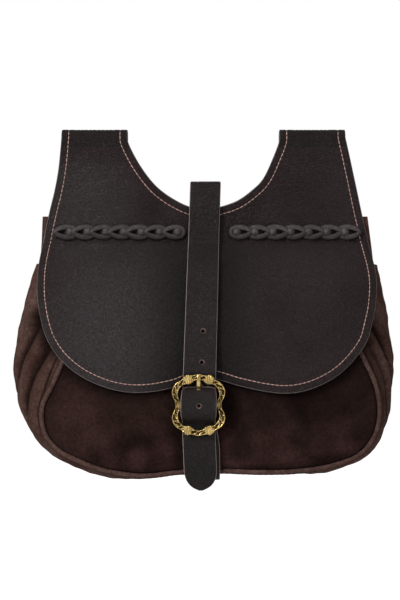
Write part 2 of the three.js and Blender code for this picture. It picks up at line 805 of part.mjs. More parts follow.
function nearest(path, z) {
  const front = path.filter((p) => p.x < 0);
  return front.reduce((best, p) => (Math.abs(p.y - z) < Math.abs(best.y - z) ? p : best));
}

function holeCutter(x, y, z, radius, depth) {
  return toSolid(new THREE.CylinderGeometry(radius, radius, depth, 12).translate(x, y, z));
}

// The punched holes: how many pitches above the buckle, and how far right of the strap's middle
const STRAP_HOLES = [
  { up: 0, aside: 0.3 },
  { up: 1.35, aside: 1.5 },
  { up: 2.35, aside: 1.6 },
];

const prongHoleZ = buckleZ + frameHalfZ * 0.42;

function billetGeometry() {
  const path = billetPath();
  let strap = toSolid(strapBody(path, billetWidths(path), strapLeather, strapCentre));
  for (const { up, aside } of STRAP_HOLES) {
    const z = buckleZ + up * holePitch;
    const x = strapCentre(z) + aside;
    strap = strap.subtract(holeCutter(x, nearest(path, z).x, z, strapHole / 2, strapLeather * 2.5));
  }
  const place = new THREE.Vector3(strapCentre(buckleZ), frameY - 1.5, prongHoleZ);
  const slot = box(prongWidth + 2 * touch + 0.6, 14, 7.4, place);
  return toGeometry(strap.subtract(toSolid(slot)));
}

// The strap that carries the buckle: from the back, under the pouch, up the front, round the bar
const frontCornerZ = -(pouchTop + 0.971 * pouchDrop);
const frontCornerY = frontMiddle(0, frontCornerZ) + pipingSetBack - 3 * touch;

function buckleStrapPath() {
  const half = buckleStrapLeather / 2;
  const pipingZ = frontCornerZ - pipingRadius - touch;
  const wrap = pipingRadius + 4 * touch + half;
  const underZ = Math.min(pipingZ - wrap, -(pouchTop + 0.99 * pouchDrop) - touch - half);
  const backY = suedeWall + 2 * touch + half;
  const round = barRadius + 1.5 * touch + half;
  const corner = 5;
  const bend = (y, z, radius, from, to, steps) =>
    Array.from({ length: steps + 1 }, (_, i) => {
      const angle = lerp(from, to, i / steps);
      return [y + radius * Math.cos(angle), z + radius * Math.sin(angle)];
    });
  const under = Math.min(frontCornerY - wrap, buckleStrapY + 1);
  return [
    [backY, underZ + buckleStrapTail],
    [backY, underZ + buckleStrapTail / 2],
    ...bend(backY - corner, underZ + corner, corner, 0, -Math.PI / 2, 4),
    [frontCornerY * 0.5, underZ],
    ...bend(frontCornerY, underZ + wrap, wrap, -Math.PI / 2, -Math.PI, 4),
    [under, frontCornerZ + 8],
    [lerp(under, buckleStrapY, 0.6), buckleZ - frameHalfZ * 1.5],
    [buckleStrapY, buckleZ - frameHalfZ * 1.15],
    [buckleStrapY, buckleZ - frameHalfZ * 0.7],
    [buckleStrapY - 0.3, buckleZ - frameHalfZ * 0.5],
    [lerp(buckleStrapY, frameY + round, 0.55), buckleZ - frameHalfZ * 0.3],
    ...bend(frameY, buckleZ, round, -0.12 * Math.PI, 1.2 * Math.PI, 10),
  ].map(([y, z]) => new THREE.Vector2(y, z));
}

function buckleStrapGeometry() {
  const path = buckleStrapPath();
  const shift = 4;
  const centre = (z) =>
    strapCentre(buckleZ) + shift * smoothstep(-z, buckleDrop + 4, buckleDrop + frameHalfZ * 1.6);
  const widths = path.map(() => strapWidth * 0.98);
  const strap = toSolid(strapBody(path, widths, buckleStrapLeather, centre));
  const place = new THREE.Vector3(strapCentre(buckleZ), frameY, buckleZ + 2);
  const slot = box(prongWidth + 2 * touch + 1, foldOutRadius * 2 + 3, 13.5, place);
  return toGeometry(strap.subtract(toSolid(slot)));
}

// The cast frame: a ring whose section swells from a flat back to a rounded face
function frameRing() {
  const quarter = BUCKLE_QUARTER.map((r) => ({
    out: [(r.outX * buckleWidth) / 2, (r.outZ * buckleHeight) / 2],
    in: [(r.inX * buckleWidth) / 2, (r.inZ * buckleHeight) / 2],
    proud: r.proud,
  }));
  const mirrored = (x, z) =>
    quarter.map((q) => ({
      out: [q.out[0] * x, q.out[1] * z],
      in: [q.in[0] * x, q.in[1] * z],
      proud: q.proud,
    }));
  return [
    ...mirrored(1, 1),
    ...mirrored(1, -1).reverse(),
    ...mirrored(-1, -1).slice(1),
    ...mirrored(-1, 1).reverse().slice(0, -1),
  ];
}

function frameGeometry() {
  const centreX = strapCentre(buckleZ);
  const half = buckleThickness / 2;
  const sections = frameRing().map(({ out, in: inner, proud }) => {
    const face = half * (1 + proud * 2);
    const point = (share, y) => {
      const [x, z] = [lerp(inner[0], out[0], share), lerp(inner[1], out[1], share)];
      return new THREE.Vector3(centreX + x, frameY + y, buckleZ + z);
    };
    return [
      point(0, half),
      point(1, half),
      point(1, -half * 0.25),
      point(0.78, -face * 0.85),
      point(0.5, -face),
      point(0.22, -face * 0.85),
      point(0, -half * 0.25),
    ];
  });
  const barLength = buckleWidth * 0.78;
  const bar = new THREE.CylinderGeometry(barRadius, barRadius, barLength, 10)
    .rotateZ(Math.PI / 2)
    .translate(centreX, frameY, buckleZ);
  return toGeometry(toSolid(loft(sections, true)).add(toSolid(bar)));
}

// The prong curls round the bar, passes the strap's hole and rests on the frame's top
function prongGeometry() {
  const round = barRadius + touch + prongThickness / 2;
  const restY = frameY - buckleThickness / 2 - touch - prongThickness / 2;
  const centreX = strapCentre(buckleZ);
  const points = [];
  for (let i = 0; i <= 7; i++) {
    const angle = lerp(-0.62 * Math.PI, 0.5 * Math.PI, i / 7);
    points.push([frameY + round * Math.cos(angle), buckleZ + round * Math.sin(angle)]);
  }
  points.push([lerp(frameY, restY, 0.72), buckleZ + frameHalfZ * 0.42]);
  points.push([restY, buckleZ + frameHalfZ * 0.72]);
  points.push([restY, buckleZ + frameHalfZ * 0.98]);
  const path = strapPath(points, 1.9);
  const widths = path.map(() => prongWidth);
  return strapBody(path, widths, prongThickness, () => centreX);
}

// A bump of lace standing on the flap: its sections go from the flap up to its top
function laceSection(x, z, acrossX, acrossZ, half, lift) {
  const foot = (px, pz) => flapMiddle(px, pz) - flapLeather / 2 - 2 * touch;
  const at = (share, up) => {
    const [px, pz] = [x + acrossX * half * share, z + acrossZ * half * share];
    return new THREE.Vector3(px, foot(px, pz) - up, pz);
  };
  return [at(-1, 0), at(-0.6, lift), at(0.6, lift), at(1, 0)];
}

// One braid: each link is a slit ring that climbs over the next, with a tongue of lace inside it
const ringSteps = 8;
const ringStretch = 1.3;

function braidGeometry(side) {
  const [start, end] = braidEnds(side);
  const pitch = Math.abs(end - start) / braidLinks;
  const reach = (braidWidth - laceWidth) / 2;
  let braid = null;
  const join = (piece) => {
    braid = braid ? braid.add(toSolid(piece)) : toSolid(piece);
  };
  for (let link = 0; link < braidLinks - 1; link++) {
    const from = start + side * pitch * (link + 0.5);
    const sections = Array.from({ length: ringSteps }, (_, i) => {
      const turn = (2 * Math.PI * (i + 0.5)) / ringSteps;
      const share = 0.5 - 0.5 * Math.cos(turn);
      const lift = laceThickness * (0.7 + 0.75 * share);
      const x = from + side * pitch * ringStretch * share;
      const z = lacingZ + reach * Math.sin(turn);
      return laceSection(x, z, -side * Math.cos(turn), Math.sin(turn), laceWidth / 2, lift);
    });
    join(loft(sections, true));
  }
  for (let link = 0; link < braidLinks; link++) {
    const lifts = [0.6, 1.35, 1.5, 0.8];
    const sections = lifts.map((lift, i) => {
      const x = start + side * pitch * (link + (1.02 * i) / (lifts.length - 1));
      return laceSection(x, lacingZ, 0, 1, laceWidth / 2, laceThickness * lift);
    });
    join(loft(sections));
  }
  return toGeometry(braid);
}

// Finishes of the real materials
const leatherFinish = new THREE.MeshStandardMaterial({ color: 0x2b2727, roughness: 0.55, metalness: 0 });
const suedeFinish = new THREE.MeshStandardMaterial({ color: 0x3c2520, roughness: 0.95, metalness: 0 });
const brassFinish = new THREE.MeshStandardMaterial({ color: 0xb39a52, roughness: 0.35, metalness: 1 });

const bag = new THREE.Group();

function addPiece(name, geometry, finish) {
  const piece = new THREE.Mesh(geometry, finish);
  piece.name = name;
  bag.add(piece);
}

addPiece("flap", flapGeometry(), leatherFinish);
addPiece("pouch_front", frontGeometry(), suedeFinish);
addPiece("pouch_gusset", gussetGeometry(), suedeFinish);
addPiece("pouch_back", backGeometry(), suedeFinish);
addPiece("piping", pipingGeometry(), suedeFinish);
addPiece("braid_left", braidGeometry(-1), leatherFinish);
addPiece("braid_right", braidGeometry(1), leatherFinish);
addPiece("billet_strap", billetGeometry(), leatherFinish);
addPiece("buckle_strap", buckleStrapGeometry(), leatherFinish);
addPiece("buckle_frame", frameGeometry(), brassFinish);
addPiece("buckle_prong", prongGeometry(), brassFinish);

export default bag;
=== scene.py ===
"""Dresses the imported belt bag: grained leather, napped suede, laced braids, cast brass and thread.

Sizes are in millimetres as the maker would write them, and every mesh is written in metres.
"""

from __future__ import annotations

import logging
import math
from collections.abc import Callable, Mapping, Sequence
from dataclasses import dataclass, field
from enum import Enum

import bmesh
import bpy
import numpy as np
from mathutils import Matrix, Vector
from mathutils.geometry import delaunay_2d_cdt

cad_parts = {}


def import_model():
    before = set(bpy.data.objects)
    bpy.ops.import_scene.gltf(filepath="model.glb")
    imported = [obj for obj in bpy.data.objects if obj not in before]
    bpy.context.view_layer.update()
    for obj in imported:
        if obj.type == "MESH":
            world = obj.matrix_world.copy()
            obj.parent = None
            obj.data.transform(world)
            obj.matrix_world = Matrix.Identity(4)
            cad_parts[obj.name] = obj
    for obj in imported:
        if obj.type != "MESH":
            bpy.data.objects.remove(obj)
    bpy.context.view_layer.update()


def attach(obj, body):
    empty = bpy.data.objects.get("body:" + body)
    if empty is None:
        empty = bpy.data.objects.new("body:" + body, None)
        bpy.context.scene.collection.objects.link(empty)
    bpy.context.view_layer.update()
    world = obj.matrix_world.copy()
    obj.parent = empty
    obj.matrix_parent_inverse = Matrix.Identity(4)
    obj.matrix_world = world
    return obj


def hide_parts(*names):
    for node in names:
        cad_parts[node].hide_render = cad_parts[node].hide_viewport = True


LOG = logging.getLogger("belt_bag")
MM = 0.001
Array = np.ndarray
Row = Mapping[str, float]
Place = Callable[[Array, Array, Array], Array]
Surface = Callable[[Array, Array], Array]


class Face(Enum):
    """Which side of a leather wall shows."""

    GRAIN = "grain"
    NAP = "nap"


FRONT_FORM: list[Row] = [
    {"down": 0.045, "out": 0},
    {"down": 0.08, "out": 0.1},
    {"down": 0.115, "out": 0.24},
    {"down": 0.17, "out": 0.39},
    {"down": 0.25, "out": 0.56},
    {"down": 0.33, "out": 0.69},
    {"down": 0.435, "out": 0.81},
    {"down": 0.54, "out": 0.9},
    {"down": 0.65, "out": 0.96},
    {"down": 0.76, "out": 0.99},
    {"down": 0.89, "out": 1},
    {"down": 1, "out": 0.96},
]
LOOP_EDGE: list[Row] = [
    {"down": 0.17, "left": 1.007, "right": 1.019},
    {"down": 0.375, "left": 1.022, "right": 1.05},
    {"down": 0.58, "left": 1.048, "right": 1.081},
    {"down": 0.78, "left": 1.084, "right": 1.113},
    {"down": 1, "left": 1.118, "right": 1.148},
]
FLAP_EDGE: list[Row] = [
    {"across": -0.967, "down": 0.121},
    {"across": -0.978, "down": 0.274},
    {"across": -0.97, "down": 0.431},
    {"across": -0.942, "down": 0.575},
    {"across": -0.905, "down": 0.68},
    {"across": -0.837, "down": 0.784},
    {"across": -0.731, "down": 0.881},
    {"across": -0.603, "down": 0.95},
    {"across": -0.47, "down": 0.988},
    {"across": -0.341, "down": 0.994},
    {"across": -0.176, "down": 0.966},
    {"across": 0, "down": 0.905},
    {"across": 0.209, "down": 0.956},
    {"across": 0.341, "down": 0.986},
    {"across": 0.455, "down": 1},
    {"across": 0.561, "down": 0.99},
    {"across": 0.678, "down": 0.949},
    {"across": 0.788, "down": 0.881},
    {"across": 0.883, "down": 0.784},
    {"across": 0.948, "down": 0.685},
    {"across": 0.98, "down": 0.58},
    {"across": 1.006, "down": 0.469},
    {"across": 1.019, "down": 0.299},
    {"across": 0.998, "down": 0.134},
]
FRONT_EDGE: list[Row] = [
    {"across": -0.6, "down": 0.2},
    {"across": -0.617, "down": 0.32},
    {"across": -0.658, "down": 0.455},
    {"across": -0.721, "down": 0.584},
    {"across": -0.776, "down": 0.675},
    {"across": -0.815, "down": 0.735},
    {"across": -0.82, "down": 0.787},
    {"across": -0.796, "down": 0.847},
    {"across": -0.727, "down": 0.898},
    {"across": -0.641, "down": 0.928},
    {"across": -0.538, "down": 0.958},
    {"across": -0.43, "down": 0.975},
    {"across": -0.3, "down": 0.983},
    {"across": -0.14, "down": 0.971},
    {"across": 0, "down": 0.967},
    {"across": 0.15, "down": 0.966},
    {"across": 0.3, "down": 0.969},
    {"across": 0.475, "down": 0.966},
    {"across": 0.657, "down": 0.947},
    {"across": 0.8, "down": 0.906},
    {"across": 0.873, "down": 0.838},
    {"across": 0.895, "down": 0.755},
    {"across": 0.876, "down": 0.66},
    {"across": 0.812, "down": 0.557},
    {"across": 0.732, "down": 0.445},
    {"across": 0.67, "down": 0.32},
    {"across": 0.64, "down": 0.2},
]
SIDE_EDGE: list[Row] = [
    {"across": -0.858, "down": 0.19},
    {"across": -0.89, "down": 0.255},
    {"across": -0.918, "down": 0.33},
    {"across": -0.967, "down": 0.485},
    {"across": -0.986, "down": 0.605},
    {"across": -0.974, "down": 0.723},
    {"across": -0.937, "down": 0.8},
    {"across": -0.871, "down": 0.88},
    {"across": -0.739, "down": 0.955},
    {"across": -0.576, "down": 1.002},
    {"across": -0.373, "down": 1.017},
    {"across": -0.17, "down": 1.002},
    {"across": 0, "down": 0.982},
    {"across": 0.203, "down": 0.985},
    {"across": 0.475, "down": 1},
    {"across": 0.678, "down": 0.988},
    {"across": 0.82, "down": 0.946},
    {"across": 0.915, "down": 0.89},
    {"across": 0.963, "down": 0.81},
    {"across": 0.988, "down": 0.71},
    {"across": 1, "down": 0.605},
    {"across": 0.977, "down": 0.47},
    {"across": 0.942, "down": 0.34},
    {"across": 0.921, "down": 0.26},
    {"across": 0.896, "down": 0.19},
]
BACK_EDGE: list[Row] = [
    {"across": -0.863, "down": 0},
    {"across": -0.876, "down": 0.17},
    {"across": -0.933, "down": 0.42},
    {"across": -0.945, "down": 0.595},
    {"across": -0.915, "down": 0.73},
    {"across": -0.83, "down": 0.85},
    {"across": -0.66, "down": 0.93},
    {"across": -0.44, "down": 0.965},
    {"across": 0, "down": 0.965},
    {"across": 0.44, "down": 0.96},
    {"across": 0.68, "down": 0.93},
    {"across": 0.854, "down": 0.85},
    {"across": 0.935, "down": 0.73},
    {"across": 0.956, "down": 0.595},
    {"across": 0.942, "down": 0.42},
    {"across": 0.91, "down": 0.17},
    {"across": 0.881, "down": 0},
]
GUSSET_CREASES: list[Row] = [
    {"along_from": 0.05, "over_from": 0.82, "along_to": 0.21, "over_to": 0.34, "deep": 0.085, "lap": 1},
    {"along_from": 0.09, "over_from": 0.93, "along_to": 0.27, "over_to": 0.5, "deep": 0.085, "lap": 1},
    {"along_from": 0.95, "over_from": 0.86, "along_to": 0.8, "over_to": 0.36, "deep": 0.08, "lap": 1},
    {"along_from": 0.91, "over_from": 0.95, "along_to": 0.77, "over_to": 0.62, "deep": 0.035, "lap": 1},
]
NECK_EDGE: list[Row] = [
    {"across": 0.98, "down": 0.1},
    {"across": 0.885, "down": 0.359},
    {"across": 0.756, "down": 0.618},
    {"across": 0.626, "down": 0.746},
    {"across": 0.446, "down": 0.875},
    {"across": 0.239, "down": 0.952},
    {"across": 0.02, "down": 1},
    {"across": -0.187, "down": 0.952},
    {"across": -0.354, "down": 0.875},
    {"across": -0.548, "down": 0.746},
    {"across": -0.677, "down": 0.618},
    {"across": -0.857, "down": 0.359},
    {"across": -0.98, "down": 0.1},
]
STRAP_HOLES: list[Row] = [
    {"up": 0, "aside": 0.3},
    {"up": 1.35, "aside": 1.5},
    {"up": 2.35, "aside": 1.6},
]
BUCKLE_CROSSING: list[Row] = [
    {"from": 0.68, "rise": 0},
    {"from": 0.57, "rise": 0.04},
    {"from": 0.47, "rise": 0.3},
    {"from": 0.37, "rise": 0.68},
    {"from": 0.22, "rise": 0.95},
]
TIP_FORM: list[Row] = [
    {"from": 0, "wide": 0.26},
    {"from": 2.2, "wide": 0.52},
    {"from": 5, "wide": 0.73},
    {"from": 8.5, "wide": 0.89},
    {"from": 12.5, "wide": 0.975},
    {"from": 16, "wide": 1},
]
BUCKLE_QUARTER: list[Row] = [
    {"out_x": 0, "out_z": 1, "in_x": 0, "in_z": 0.82, "proud": 0},
    {"out_x": 0.2, "out_z": 0.965, "in_x": 0.15, "in_z": 0.785, "proud": 0},
    {"out_x": 0.31, "out_z": 0.965, "in_x": 0.27, "in_z": 0.69, "proud": 0.2},
    {"out_x": 0.42, "out_z": 0.985, "in_x": 0.33, "in_z": 0.66, "proud": 0.28},
    {"out_x": 0.54, "out_z": 0.92, "in_x": 0.44, "in_z": 0.66, "proud": 0.2},
    {"out_x": 0.62, "out_z": 0.82, "in_x": 0.54, "in_z": 0.665, "proud": 0},
    {"out_x": 0.8, "out_z": 0.735, "in_x": 0.645, "in_z": 0.59, "proud": 0.04},
    {"out_x": 0.93, "out_z": 0.595, "in_x": 0.72, "in_z": 0.49, "proud": 0.06},
    {"out_x": 0.985, "out_z": 0.43, "in_x": 0.75, "in_z": 0.37, "proud": 0.04},
    {"out_x": 0.945, "out_z": 0.26, "in_x": 0.74, "in_z": 0.26, "proud": 0},
    {"out_x": 0.86, "out_z": 0.1, "in_x": 0.69, "in_z": 0.13, "proud": 0},
]


def smooth_table(rows: Sequence[Row], start: str, end: str) -> Callable[[Array | float], Array]:
    """A monotone cubic through a table's rows.

    Args:
        rows: the table, in rising order of its first column.
        start: the name of the column that is looked up.
        end: the name of the column that is read.

    Returns:
        A function from the first column to the second, for one value or an array.
    """
    xs = np.array([r[start] for r in rows], float)
    ys = np.array([r[end] for r in rows], float)
    slope = np.diff(ys) / np.diff(xs)
    tangent = np.empty_like(ys)
    tangent[0] = slope[0]
    tangent[-1] = slope[-1]
    for i in range(1, len(ys) - 1):
        both = slope[i - 1] * slope[i]
        tangent[i] = 0 if both <= 0 else 2 * both / (slope[i - 1] + slope[i])

    def look_up(at: Array | float) -> Array:
        """The table's value at a place."""
        value = np.clip(np.asarray(at, float), xs[0], xs[-1])
        i = np.clip(np.searchsorted(xs, value, side="right") - 1, 0, len(xs) - 2)
        step = xs[i + 1] - xs[i]
        t = (value - xs[i]) / step
        rest = 1 - t
        return (
            ys[i] * (1 + 2 * t) * rest * rest
            + tangent[i] * step * t * rest * rest
            + ys[i + 1] * t * t * (3 - 2 * t)
            - tangent[i + 1] * step * t * t * rest
        )

    return look_up


def ease(value: Array | float, low: float, high: float) -> Array:
    """A smooth step from 0 at low to 1 at high."""
    t = np.clip((np.asarray(value, float) - low) / (high - low), 0, 1)
    return t * t * (3 - 2 * t)


def mix(a: Array | float, b: Array | float, share: Array | float) -> Array | float:
    """A value between a and b."""
    return a + (b - a) * share


def smooth_curve(points: Array | Sequence[Sequence[float]], spacing: float = 0, count: int = 0) -> Array:
    """Evenly spaced points of a centripetal curve through given ones.

    Args:
        points: the points that the curve goes through.
        spacing: the wanted distance between two results, or 0 where count is given.
        count: the number of steps, or 0 where spacing is given.

    Returns:
        The points, one a row.
    """
    p = np.asarray(points, float)
    padded = np.vstack([2 * p[0] - p[1], p, 2 * p[-1] - p[-2]])
    t = np.linspace(0, 1, 33)[:-1, None]
    runs = []
    for i in range(len(p) - 1):
        a, b, c, d = padded[i : i + 4]
        ab, bc, cd = (max(np.linalg.norm(v) ** 0.5, 1e-4) for v in (b - a, c - b, d - c))
        start = ((b - a) / ab - (c - a) / (ab + bc) + (c - b) / bc) * bc
        stop = ((c - b) / bc - (d - b) / (bc + cd) + (d - c) / cd) * bc
        run = b + start * t + (3 * (c - b) - 2 * start - stop) * t**2 + (2 * (b - c) + start + stop) * t**3
        runs.append(run)
    fine = np.vstack([*runs, p[-1]])
    length = np.concatenate([[0], np.cumsum(np.linalg.norm(np.diff(fine, axis=0), axis=1))])
    steps = count or max(2, round(length[-1] / spacing))
    at = np.linspace(0, length[-1], steps + 1)
    return np.column_stack([np.interp(at, length, fine[:, k]) for k in range(p.shape[1])])


def straight(start: Sequence[float], end: Sequence[float], spacing: float) -> Array:
    """Evenly spaced points of a straight line."""
    a, b = np.asarray(start, float), np.asarray(end, float)
    steps = max(1, round(float(np.linalg.norm(b - a)) / spacing))
    return a + (b - a) * np.linspace(0, 1, steps + 1)[:, None]


def within(loops: Sequence[Array], points: Array) -> Array:
    """Which points lie inside closed loops, by the even-odd rule.

    Args:
        loops: closed outlines, holes among them.
        points: the points to test.

    Returns:
        One truth value a point.
    """
    x, y = points[:, 0, None], points[:, 1, None]
    result = np.zeros(len(points), bool)
    for loop in loops:
        ax, ay = loop[:, 0], loop[:, 1]
        bx, by = np.roll(ax, -1), np.roll(ay, -1)
        run = np.where(by == ay, 1e-12, by - ay)
        cross = ((ay > y) != (by > y)) & (x < (bx - ax) * (y - ay) / run + ax)
        result ^= (cross.sum(axis=1) % 2).astype(bool)
    return result


def soft_lumps(x: Array, z: Array, size: float, seed: int) -> Array:
    """Slow, irregular swells from -1 to 1, the same each run.

    Args:
        x: places across, in millimetres.
        z: places up, in millimetres.
        size: the usual distance between two swells.
        seed: the fixed seed.

    Returns:
        The swell at each place.
    """
    rng = np.random.default_rng(seed)
    total = np.zeros(np.shape(x))
    for _ in range(9):
        turn = rng.uniform(0, 2 * math.pi)
        wave = 2 * math.pi / (size * rng.uniform(0.7, 1.6))
        total = total + np.sin((x * math.cos(turn) + z * math.sin(turn)) * wave + rng.uniform(0, 2 * math.pi))
    return total / 4.5


@dataclass(frozen=True)
class BagForm:
    """The sizes that the pieces share, and the surfaces that they lie on."""

    flap_leather: float = 2.6
    loop_gap: float = 8.0
    neckline_radius: float = 61.0
    loop_width: float = 51.0
    loop_drop: float = 78.5
    tab_overlap: float = 12.0
    flap_drop: float = 124.3
    flap_half: float = 132.0
    suede_wall: float = 1.6
    pouch_half: float = 147.5
    pouch_top: float = 66.0
    pouch_drop: float = 200.0
    pouch_depth: float = 66.0
    gusset_top: float = 37.0
    piping_radius: float = 2.3
    piping_set_back: float = 1.6
    back_seam_inset: float = 2.5
    strap_width: float = 25.0
    strap_top: float = 41.0
    strap_tip: float = 276.0
    strap_aside: float = 1.6
    strap_lean: float = 5.4
    tip_return: float = 1.7
    buckle_drop: float = 211.0
    touch: float = 0.3
    flap_clear: float = 2.0
    seam_clear: float = 1.4
    side_fall: float = 0.32
    side_sharpness: float = 2.5
    valley_depth: float = 7.0
    valley_left: float = 27.0
    valley_right: float = 22.0
    valley_centre: float = 2.0
    loop_open: float = 0.52
    loop_close: float = 0.9

    @property
    def fold_radius(self) -> float:
        """The middle radius of the leather over the belt."""
        return (self.loop_gap + self.flap_leather) / 2

    @property
    def fold_z(self) -> float:
        """The height of the fold's centre."""
        return -self.loop_gap / 2

    @property
    def lacing_z(self) -> float:
        """The height of the laced braids."""
        return -self.loop_drop

    @property
    def pouch_bottom(self) -> float:
        """How far below the origin the pouch's drop ends."""
        return self.pouch_top + self.pouch_drop

    def flap_middle(self, x: Array | float, z: Array | float) -> Array:
        """The flap's middle surface in front of the pouch, as y."""
        down = (self.lacing_z - np.asarray(z, float)) / (self.pouch_bottom - self.loop_drop)
        across = np.asarray(x, float)
        side = 1 - self.side_fall * np.abs(across / self.pouch_half) ** self.side_sharpness
        reach = np.where(across < self.valley_centre, self.valley_left, self.valley_right)
        dip = np.exp(-(((across - self.valley_centre) / reach) ** 2))
        valley = self.valley_depth * ease(down, 0.08, 0.3) * dip
        open_share = 1 - ease(-np.asarray(z, float), self.loop_drop * self.loop_open, self.loop_drop * self.loop_close)
        seat = mix(self.touch + self.flap_leather / 2, self.fold_radius, open_share)
        return -seat - FRONT_OUT(down) * self.pouch_depth * side + valley

    def front_middle(self, x: Array | float, z: Array | float) -> Array:
        """The suede front's middle surface, as y."""
        return self.flap_middle(x, z) + self.flap_leather / 2 + self.flap_clear + self.suede_wall / 2

    def strap_centre(self, z: Array | float) -> Array:
        """The strap's middle across, which leans down to the buckle and comes back at the tip."""
        drop = -np.asarray(z, float)
        down = np.minimum(1, (drop - self.strap_top) / (self.buckle_drop - self.strap_top))
        return self.strap_aside - self.strap_lean * down + self.tip_return * ease(drop, self.buckle_drop + 8, self.strap_tip)

    def under_strap(self, middle: Surface) -> Surface:
        """The foremost of a surface across a strap's width."""
        reach = self.strap_width * 0.55

        def foremost(_: Array, z: Array) -> Array:
            """The y that a flat strap rests on."""
            centre = self.strap_centre(z)
            return np.minimum(np.minimum(middle(centre - reach, z), middle(0.0, z)), middle(centre + reach, z))

        return foremost


FRONT_OUT = smooth_table(FRONT_FORM, "down", "out")
FORM = BagForm()


def beside(middle: Surface, x: Array, z: Array, n: Array | float) -> Array:
    """Points at a height over a surface that is given as y over x and z.

    Args:
        middle: the surface.
        x: places across.
        z: places up.
        n: heights over the surface, towards the front.

    Returns:
        The points in space.
    """
    x, z = np.asarray(x, float), np.asarray(z, float)
    step = 0.5
    slope_x = (middle(x + step, z) - middle(x - step, z)) / (2 * step)
    slope_z = (middle(x, z + step) - middle(x, z - step)) / (2 * step)
    normal = np.stack([slope_x, -np.ones_like(slope_x), slope_z], axis=-1)
    normal /= np.linalg.norm(normal, axis=-1, keepdims=True)
    return np.stack([x, middle(x, z), z], axis=-1) + normal * np.asarray(n, float)[..., None]


def make_object(
    name: str,
    points: Array,
    faces: Sequence[Sequence[int]],
    marks: Mapping[str, Array] | None = None,
    recalculate: bool = True,
) -> bpy.types.Object:
    """A smooth mesh object with its marks as point attributes.

    Args:
        name: the object's name.
        points: the points, in millimetres.
        faces: the corners of each face.
        marks: values between 0 and 1 at each point, by name.
        recalculate: whether the faces are turned outwards.

    Returns:
        The object, in metres, linked to the scene.
    """
    mesh = bpy.data.meshes.new(name)
    mesh.from_pydata((np.asarray(points) * MM).tolist(), [], [list(f) for f in faces])
    for key, values in (marks or {}).items():
        layer = mesh.attributes.new(key, "FLOAT", "POINT")
        layer.data.foreach_set("value", np.asarray(values, np.float32))
    if recalculate:
        work = bmesh.new()
        work.from_mesh(mesh)
        bmesh.ops.recalc_face_normals(work, faces=work.faces)
        work.to_mesh(mesh)
        work.free()
    mesh.shade_smooth()
    obj = bpy.data.objects.new(name, mesh)
    bpy.context.collection.objects.link(obj)
    return obj


def grid_faces(rows: int, columns: int, wrap_rows: bool = False, wrap_columns: bool = False) -> list[tuple[int, ...]]:
    """The faces of a grid of points.

    Args:
        rows: the number of rows of points.
        columns: the number of points in a row.
        wrap_rows: whether the last row meets the first.
        wrap_columns: whether a row's last point meets its first.

    Returns:
        The corners of each face.
    """
    faces = []
    for i in range(rows if wrap_rows else rows - 1):
        for j in range(columns if wrap_columns else columns - 1):
            k, m = (i + 1) % rows, (j + 1) % columns
            faces.append((i * columns + j, i * columns + m, k * columns + m, k * columns + j))
    return faces


def dress(obj: bpy.types.Object, material: bpy.types.Material, slot: str, *nodes: str) -> None:
    """Gives a piece its finish and its place in the frame.

    Args:
        obj: the piece.
        material: its finish.
        slot: the record's material slot; not used.
        nodes: the CAD nodes that it stands for.
    """
    if not obj.data.materials:
        obj.data.materials.append(material)
    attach(obj, "root")
    if nodes:
        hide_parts(*nodes)
    LOG.info("%s: %d faces", obj.name, len(obj.data.polygons))


